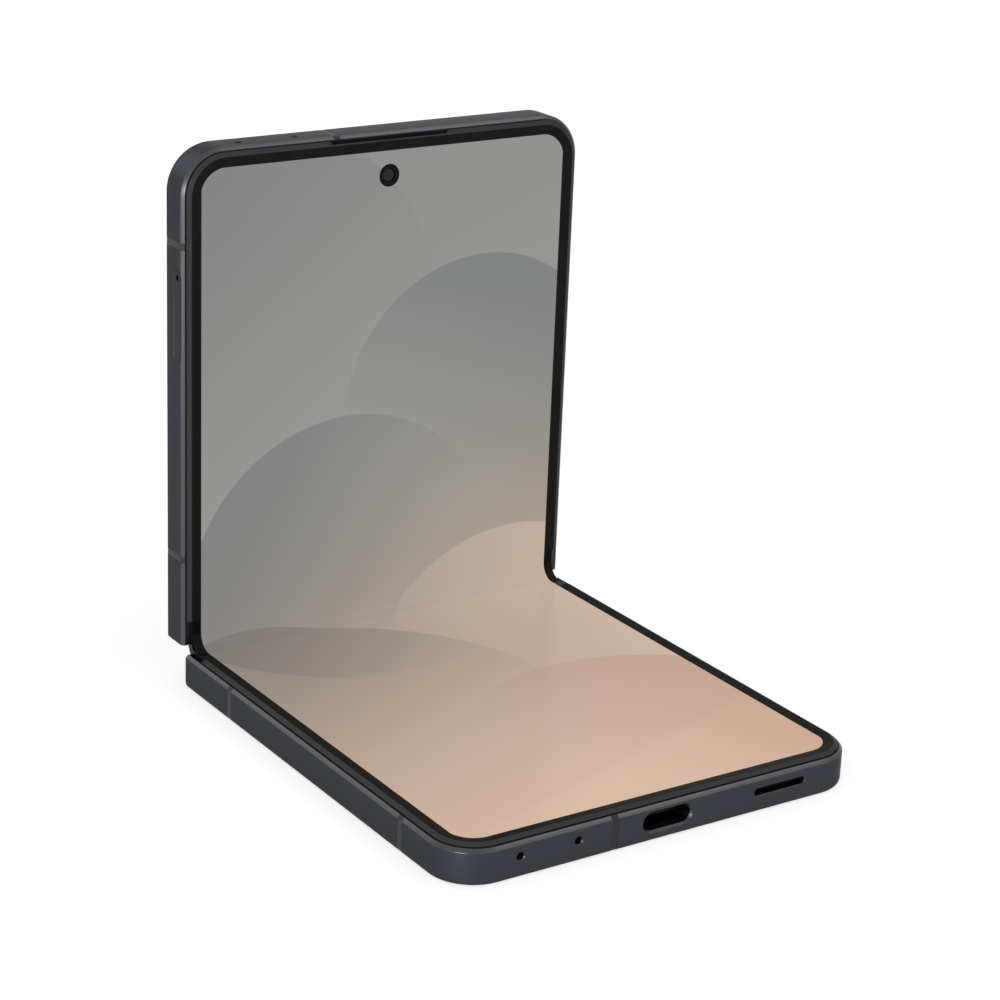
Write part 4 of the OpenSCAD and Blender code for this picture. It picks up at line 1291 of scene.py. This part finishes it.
@dataclass
class FoldingScreen(Assembly):
    """The screen: a flat part on each half, and the stretch between them that bends."""

    punch_s: float = 76.1
    punch_r: float = 1.9
    clear: float = 0.02
    skin: float = 0.004
    film_rise: float = 0.12
    film_t: float = 0.11
    film_lap: float = 0.1
    arc_t: float = 0.1
    bend_steps: int = 14
    flat_deg: float = 20
    arc_deg: float = 40
    strip_level: float = 0.01
    film_level: float = 0.03
    squashed: float = 0.01

    def make(self, screen: Screen) -> None:
        """Builds the three pieces of screen and the soft strips on the bend's edges.

        Args:
            screen: lights the screen.
        """
        for half in Half:
            self._flat(half, screen)
        self._bend(screen)
        self._films()

    def _flat(self, half: Half, screen: Screen) -> None:
        """Builds a half's screen, with its end of the bend as it is when the phone is shut.

        Args:
            half: the half that it lies on.
            screen: lights it.
        """
        z = self.sizes
        walk = Outline(z, 0.0)
        plan = [place.inset(z.panel_in) for place in walk.stations(0, walk.length)]
        panel = self._plate(half, plan, z.panel_z + self.clear, z.screen_z).build(
            f"{half.value}_screen", self.flat_deg)
        if half is Half.LID:
            hole = circle(0, self.punch_s, self.punch_r)
            cutter = self._plate(half, hole, z.panel_z - 1, z.screen_z + 1).build("cutter")
            carve(panel, [cutter], self.flat_deg)
        join(panel, self._shut_arc(half))
        sign = -1 if half is Half.BASE else 1

        def flat_s(at: Vector) -> float:
            """How far up the flat screen a point lies."""
            s = z.hinge_y - at.y if half is Half.BASE else at.z - z.axis_t
            return sign * max(s, 0.0)
        screen.light(panel, z.at(half, 0, 0, 1) - z.at(half, 0, 0, 0), flat_s)
        if half is Half.BASE:
            node = "display_lower_panel"
        else:
            node = "display_upper_panel"
        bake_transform(panel)
        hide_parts(node)
        self.done.append(panel.name)

    def _plate(self, half: Half, plan: Sequence[Point2], low: float, high: float) -> Draft:
        """A plate of one plan, between two heights of a half."""
        return Draft().loft([[self.sizes.at(half, x, s, t) for x, s in plan]
                             for t in (low, high)])

    def _shut_arc(self, half: Half) -> bpy.types.Object:
        """Builds a half's end of the bend.

        Args:
            half: the half that it lies on.

        Returns:
            The arc.
        """
        z = self.sizes
        reach = z.half_w - z.panel_in
        corners = ((-reach, z.fold_c), (reach, z.fold_c), (reach, z.fold_c + self.arc_t),
                   (-reach, z.fold_c + self.arc_t))
        turns = [math.pi / 4 * k / self.bend_steps for k in range(self.bend_steps + 1)]
        rings = [[z.at(half, x, -depth * math.sin(a), z.axis_t - depth * math.cos(a))
                  for x, depth in corners] for a in turns]
        return Draft().loft(rings).build("arc", self.arc_deg)

    def _arc_piece(self, name: str, x0: float, x1: float, rise: float, thick: float
                   ) -> bpy.types.Object:
        """Builds a strip of the bend between two places across the phone.

        Args:
            name: the strip's name.
            x0: its left side.
            x1: its right side.
            rise: how far it stands out of the screen's surface.
            thick: its thickness.

        Returns:
            The strip.
        """
        z = self.sizes
        steps = 2 * self.bend_steps
        top, low = z.fold_r - rise, z.fold_r - rise + thick
        turns = [math.pi / 2 * k / steps - math.pi / 4 for k in range(steps + 1)]
        rings = [[z.at_hinge(x, r * math.sin(a), z.fold_v - r * math.cos(a))
                  for x, r in ((x0, top), (x1, top), (x1, low), (x0, low))] for a in turns]
        return Draft().loft(rings).build(name, self.arc_deg)

    def _flatten(self, obj: bpy.types.Object, level: float) -> None:
        """Gives a strip of the bend a mesh of its own.

        Args:
            obj: the strip.
            level: height over the fold line at which it would lie flat; its point is worked out
                but not used.
        """
        tuple(self.sizes.at_hinge(0, 0, level))
        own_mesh(obj)

    def _bend(self, screen: Screen) -> None:
        """Builds the stretch that bends.

        Args:
            screen: lights it.
        """
        z = self.sizes
        reach = z.half_w - z.panel_in
        strip = self._arc_piece("screen_bend", -reach, reach, self.skin, self.arc_t)

        def flat_s(at: Vector) -> float:
            """Finds how far up the flat screen a point of the bend lies.

            Args:
                at: the point, with the phone at rest.

            Returns:
                The distance from the middle of the bend.
            """
            y, up = at.y - z.hinge_y, at.z - z.axis_t
            u, v = (y + up) * math.sqrt(0.5), (up - y) * math.sqrt(0.5)
            return z.fold_r * math.atan2(u, z.fold_v - v)
        screen.light(strip, z.at_hinge(0, 0, 1) - z.at_hinge(0, 0, 0), flat_s)
        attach(strip, "hinge")
        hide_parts("display_fold_strip")
        self._flatten(strip, self.strip_level - z.fold_c)
        self.done.append(strip.name)

    def _films(self) -> None:
        """Builds the soft strips on both edges of the bend."""
        z = self.sizes
        inner, outer = z.half_w - z.screen_in + self.film_lap, z.half_w - z.panel_in
        films = self._arc_piece("fold_edge_films", -outer, -inner, self.film_rise, self.film_t)
        join(films, self._arc_piece("right", inner, outer, self.film_rise, self.film_t))
        self.hand_in(films, EDGE_FILM, "hinge", "edge_film", "fold_edge_strips")
        self._flatten(films, self.film_level - z.fold_c)


@dataclass
class BackGlass(Assembly):
    """Glass on the outside of one half, with a rounded edge."""

    half: Half = Half.BASE
    edge: float = 0.16
    holes: tuple[tuple[float, float, float], ...] = ()

    def make(self) -> None:
        """Builds the glass."""
        z, body = self.sizes, self.half.value
        walk = Outline(z, z.glass_start)
        places = walk.stations(0, walk.length)
        levels = [(self.edge * (1 - math.sin(a)), self.edge * (1 - math.cos(a)))
                  for a in quarter(5)]
        rings = []
        for more, level in [*levels, (0.0, z.glass_t)]:
            ring = [place.inset(z.glass_inset + z.fit + more) for place in places]
            for end in (0, -1):
                ring[end] = (ring[end][0], ring[end][1] + more)
            rings.append([z.at(self.half, x, s, level) for x, s in ring])
        glass = Draft().loft(rings).build(f"{body}_outer_glass")
        carve(glass, [Draft().loft([[z.at(self.half, a, b, t) for a, b in circle(x, s, r)]
                                    for t in (-1, 2)]).build("cutter")
                      for x, s, r in self.holes])
        if self.half is Half.BASE:
            self.hand_in(glass, BACK_GLASS, body, "back_glass", "base_back_glass")
        else:
            self.hand_in(glass, COVER_GLASS, body, "cover_glass", "lid_cover_glass")


@dataclass
class Cameras(Assembly):
    """Front camera under the screen's hole, and the rear cameras' lenses and flash."""

    front_s: float = 76.1
    front_rim: Point2 = (1.15, 1.82)
    rim_depth: float = 0.06
    dome_depth: float = 0.34
    dome_rise: float = 0.22
    rear_x: tuple[float, float] = (12.0, 26.4)
    rear_s: float = 72.0
    glass_r: float = 5.18
    glass_t: float = 0.4
    glass_out: float = 0.78
    stop_r: Point2 = (2.1, 3.1)
    stop_out: float = 0.012
    eye_r: float = 2.05
    eye_depth: float = 0.05
    flash_s: float = 63.6
    flash_r: float = 1.6
    flash_out: float = 0.03
    flash_wave: float = 0.015
    flash_steps: int = 24
    flash_rim: float = 0.01
    flash_t: float = 0.5
    ring_hole_r: float = 6.35
    flash_hole_r: float = 1.65
    rim_foot: float = 0.3
    rim_rounds: tuple[float, ...] = (0.0, 0.05, 0.03, 0.0)
    glass_rounds: tuple[float, ...] = (0.0, 0.06, 0.0, 0.0)
    stop_rounds: tuple[float, ...] = (0.008, 0.008, 0.0, 0.0)
    round_steps: int = 3
    dome_foot: float = 0.4
    eye_sink: float = 0.02
    hair: float = 0.001
    smooth_deg: float = 24

    @property
    def flash_place(self) -> Point2:
        """Place of the flash, as x and s."""
        return sum(self.rear_x) / 2, self.flash_s

    def holes(self) -> tuple[tuple[float, float, float], ...]:
        """Places and radii of the holes in the outer glass."""
        rings = tuple((x, self.rear_s, self.ring_hole_r) for x in self.rear_x)
        return (*rings, (*self.flash_place, self.flash_hole_r))

    def _turned(self, name: str, profile: Sequence[Point2], places: Sequence[Point2]
                ) -> bpy.types.Object:
        """Builds a turned piece at one place or more on the upper half.

        Args:
            name: the piece's name.
            profile: closed section, as radius and height.
            places: places of its axes, as x and s.

        Returns:
            The piece.
        """
        draft = Draft()
        for x, s in places:
            draft.loft(lathe(profile, lambda a, b, c: self.sizes.at(Half.LID, a, b, c), x, s),
                       True)
        return draft.build(name, self.smooth_deg)

    def make(self) -> None:
        """Builds the front camera, the rear cameras' lenses and stops, and the flash."""
        self._front()
        self._rear()
        self._flash()

    def _front(self) -> None:
        """Builds the front camera's rim and lens."""
        hole, top = [(0.0, self.front_s)], self.sizes.screen_z
        inner, outer = self.front_rim
        face, foot = top - self.rim_depth, top - self.rim_foot
        rim = rounded([(inner, foot), (inner, face), (outer, face), (outer, foot)],
                      self.rim_rounds, self.round_steps)
        self.hand_in(self._turned("front_camera_rim", rim, hole), EDGE_FILM, "lid",
                     "module_black")
        foot = top - self.dome_foot
        dome = [(self.hair, foot)] + [
            (inner * math.sin(a), top - self.dome_depth + self.dome_rise * math.cos(a))
            for a in quarter(8)] + [(inner, foot)]
        self.hand_in(self._turned("front_camera_lens", dome, hole), LENS_TINT, "lid", "lens")

    def _rear(self) -> None:
        """Builds the rear cameras' glasses, stops and lenses."""
        rear, face = [(x, self.rear_s) for x in self.rear_x], -self.glass_out
        glass = rounded([(self.hair, face), (self.glass_r, face),
                         (self.glass_r, face + self.glass_t),
                         (self.hair, face + self.glass_t)],
                        self.glass_rounds, self.round_steps)
        self.hand_in(self._turned("rear_camera_glasses", glass, rear), LENS, "lid", "lens",
                     "camera_glasses")
        inner, outer = self.stop_r
        out, back = face - self.stop_out, face + self.eye_depth
        stop = rounded([(inner, out), (outer, out), (outer, back), (inner, back)],
                       self.stop_rounds, self.round_steps)
        self.hand_in(self._turned("rear_camera_stops", stop, rear), BLACK, "lid",
                     "module_black")
        eye = [(self.hair, back)] + [
            (self.eye_r * math.sin(a), face + self.eye_sink - self.eye_depth * math.cos(a))
            for a in quarter(8)]
        self.hand_in(self._turned("rear_camera_lenses", eye, rear), LENS_TINT, "lid", "lens")

    def _flash(self) -> None:
        """Builds the flash's waved face."""
        waves = [(self.flash_r * k / self.flash_steps,
                  -self.flash_out - (self.flash_wave if k % 4 < 2 else 0.0))
                 for k in range(1, self.flash_steps)]
        face = [(self.hair, -self.flash_out)] + waves + [
            (self.flash_r, -self.flash_rim), (self.flash_r, self.flash_t),
            (self.hair, self.flash_t)]
        self.hand_in(self._turned("flash_face", face, [self.flash_place]), FLASH, "lid",
                     "flash", "flash_window")


@dataclass
class Keys(Assembly):
    """Volume and power keys, with crowned faces."""

    keys: tuple[tuple[str, float, float], ...] = (
        ("volume_key", 56.0, 18.0), ("power_key", 32.0, 14.0))
    proud: float = 0.4
    level: float = 3.3
    height: float = 2.2
    depth: float = 1.9
    edge: float = 0.18
    crown_in: float = 0.5
    crown_drop: float = 0.01

    def make(self) -> None:
        """Builds both keys."""
        z = self.sizes
        layers = [(self.proud - self.crown_drop, self.edge + self.crown_in)] + [
            (self.proud - self.edge * (1 - math.cos(a)), self.edge * (1 - math.sin(a)))
            for a in quarter(5)] + [(-self.depth, 0.0)]
        for name, s, length in self.keys:
            rings = []
            for out, shrink in layers:
                outline = slot_outline(length - 2 * shrink, self.height - 2 * shrink)
                rings.append([z.at(Half.LID, z.half_w + out, s + a, self.level + b)
                              for a, b in outline])
            key = Draft().loft(rings).build(f"{name}_cap")
            self.hand_in(key, KEY, name, "key", name)


@dataclass
class SocketDetail(Assembly):
    """Contacts on the charging socket's tongue, and the dark mesh in the sound slot."""

    count: int = 12
    pitch: float = 0.5
    contact: Point2 = (0.26, 3.0)
    contact_out: Point2 = (0.35, 0.37)
    tongue_in: float = 3.0
    level: float = 3.2
    speaker: tuple[float, float, float] = (21.3, 9.6, 1.0)
    speaker_level: float = 3.5
    mesh_depth: Point2 = (1.3, 1.5)

    def make(self) -> None:
        """Builds the contacts and the mesh."""
        z = self.sizes
        contacts = Draft()
        tip = z.half_len - self.tongue_in
        reach, length = self.contact[0] / 2, self.contact[1]
        for k in range(self.count):
            x = (k - (self.count - 1) / 2) * self.pitch
            plan = ((x - reach, tip - length), (x + reach, tip - length), (x + reach, tip),
                    (x - reach, tip))
            for side in (-1, 1):
                levels = sorted(self.level + side * out for out in self.contact_out)
                contacts.loft([[z.at(Half.BASE, a, s, t) for a, s in plan] for t in levels])
        self.hand_in(contacts.build("socket_contacts"), GOLD, "base", "mic")
        x0, length, height = self.speaker
        ring = slot_outline(length, height)
        rings = [[z.at(Half.BASE, x0 + a, z.half_len - d, self.speaker_level + b)
                  for a, b in ring] for d in self.mesh_depth]
        self.hand_in(Draft().loft(rings).build("speaker_mesh"), DEEP, "base", "module_black")


# ------------------------------------------------------------------ studio, node finishes and main


@dataclass(frozen=True)
class Lamp:
    """A square softbox: its place and size in metres, and its power in watts."""

    name: str
    place: tuple[float, float, float]
    size: float
    power: float


class Studio:
    """Floor, light and camera."""

    azimuth_deg = -34.131
    height_deg = 19.819
    roll_deg = 2.319
    distance = 456.399
    target = (12.759, 25.158, 30.0)
    focal_px = 2728.915
    image_px = 1000
    sensor_mm = 36.0
    clip = (0.01, 50.0)
    floor_size = 6.0
    floor_drop = 0.02
    floor_shade = 0.5
    floor_rough = 0.9
    floor_lift = 0.68
    world_light = 0.62
    lamp_aim = (0.0, 0.02, 0.03)
    lamps = (Lamp("back_softbox", (-0.3, 0.75, 0.5), 0.5, 0.7),
             Lamp("corner_softbox", (-0.64, -0.44, 0.06), 0.2, 5.0),
             Lamp("right_softbox", (0.5, -0.3, 0.77), 0.4, 1.1))

    def make(self) -> None:
        """Builds the studio."""
        self._camera()
        self._world()
        self._floor()
        for lamp in self.lamps:
            self._lamp(lamp)

    @staticmethod
    def _place(name: str, data: bpy.types.ID) -> bpy.types.Object:
        """Puts an object into the scene.

        Args:
            name: the object's name.
            data: its camera, lamp or mesh.

        Returns:
            The object.
        """
        obj = bpy.data.objects.new(name, data)
        bpy.context.scene.collection.objects.link(obj)
        return obj

    def _camera(self) -> None:
        """Builds the camera at the photograph's viewpoint."""
        az, el = math.radians(self.azimuth_deg), math.radians(self.height_deg)
        back = Vector((math.sin(az) * math.cos(el), -math.cos(az) * math.cos(el),
                       math.sin(el)))
        data = bpy.data.cameras.new("camera")
        data.sensor_width = self.sensor_mm
        data.lens = self.focal_px * self.sensor_mm / self.image_px
        data.clip_start, data.clip_end = self.clip
        camera = self._place("camera", data)
        camera.location = (Vector(self.target) + back * self.distance) * MM
        camera.rotation_mode = "QUATERNION"
        roll = Quaternion(back, math.radians(self.roll_deg))
        camera.rotation_quaternion = roll @ (-back).to_track_quat("-Z", "Y")
        bpy.context.scene.camera = camera

    def _world(self) -> None:
        """Builds the white background, and softer light from all round."""
        world = bpy.data.worlds.new("studio")
        world.use_nodes = True
        w = Wires(world.node_tree)
        paths = w.add("LightPath").outputs
        seen = w.maths("MAXIMUM", paths["Is Camera Ray"], paths["Is Glossy Ray"])
        seen = w.maths("MAXIMUM", seen, paths["Is Transmission Ray"])
        strength = w.add("MapRange", {"Value": seen, "To Min": self.world_light,
                                      "To Max": 1.0})
        w.feed(world.node_tree.nodes["Background"], {
            "Color": (1, 1, 1, 1), "Strength": strength.outputs["Result"]})
        bpy.context.scene.world = world

    def _floor(self) -> None:
        """Builds the plain pale floor, which keeps the phone's shadow."""
        reach = self.floor_size / 2
        mesh = bpy.data.meshes.new("floor")
        mesh.from_pydata([(-reach, -reach, 0), (reach, -reach, 0), (reach, reach, 0),
                          (-reach, reach, 0)], [], [(0, 1, 2, 3)])
        floor = self._place("floor", mesh)
        floor.location.z = -self.floor_drop * MM
        made, w, shader = new_material("pale_floor")
        paths = w.add("LightPath").outputs
        seen = w.maths("MAXIMUM", paths["Is Camera Ray"], paths["Is Glossy Ray"])
        w.feed(shader, {
            "Base Color": (*[self.floor_shade] * 3, 1), "Roughness": self.floor_rough,
            "Specular IOR Level": 0.0, "Emission Color": (1, 1, 1, 1),
            "Emission Strength": w.maths("MULTIPLY", seen, self.floor_lift)})
        mesh.materials.append(made)

    def _lamp(self, lamp: Lamp) -> None:
        """Builds a softbox that looks at the phone.

        Args:
            lamp: its place, size and power.
        """
        data = bpy.data.lights.new(lamp.name, "AREA")
        data.size, data.energy = lamp.size, lamp.power
        obj = self._place(lamp.name, data)
        obj.location = lamp.place
        obj.rotation_mode = "QUATERNION"
        way = Vector(self.lamp_aim) - Vector(lamp.place)
        obj.rotation_quaternion = way.to_track_quat("-Z", "Y")


def dress_packed_nodes(nodes: dict[str, bpy.types.Object], record: dict, shop: Workshop) -> None:
    """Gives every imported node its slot's finish.

    Args:
        nodes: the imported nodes.
        record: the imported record.
        shop: makes the materials.
    """
    slots = {part["node"]: part["material_slot"] for part in record["subparts"]}
    for name, node in nodes.items():
        shop.dress(node, NODE_FINISH.get(name, SLOT_FINISH[slots[name]]))


def main() -> None:
    """Builds the phone's looks and the studio."""
    logging.basicConfig(level=logging.INFO, format="%(name)s: %(message)s")
    for obj in list(bpy.data.objects):
        bpy.data.objects.remove(obj)
    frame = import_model()
    sizes, shop = Sizes.from_frame(frame["joints"]), Workshop()
    dress_packed_nodes(frame["nodes"], frame["record"], shop)
    screen = Screen(sizes, shop)
    cameras = Cameras(sizes, shop)
    parts: list[Assembly] = [
        BaseFrame(sizes, shop), LidFrame(sizes, shop),
        ScreenTrim(sizes, shop), ScreenTrim(sizes, shop, half=Half.LID),
        BackGlass(sizes, shop), BackGlass(sizes, shop, half=Half.LID, holes=cameras.holes()),
        cameras, Keys(sizes, shop), SocketDetail(sizes, shop)]
    for part in parts:
        part.make()
    folding = FoldingScreen(sizes, shop)
    folding.make(screen)
    for part in [*parts, folding]:
        for piece in part.done:
            LOG.info("%s: %s", type(part).__name__, piece)
    Studio().make()
    bpy.context.scene.view_settings.view_transform = "Standard"


if __name__ == "__main__":
    main()
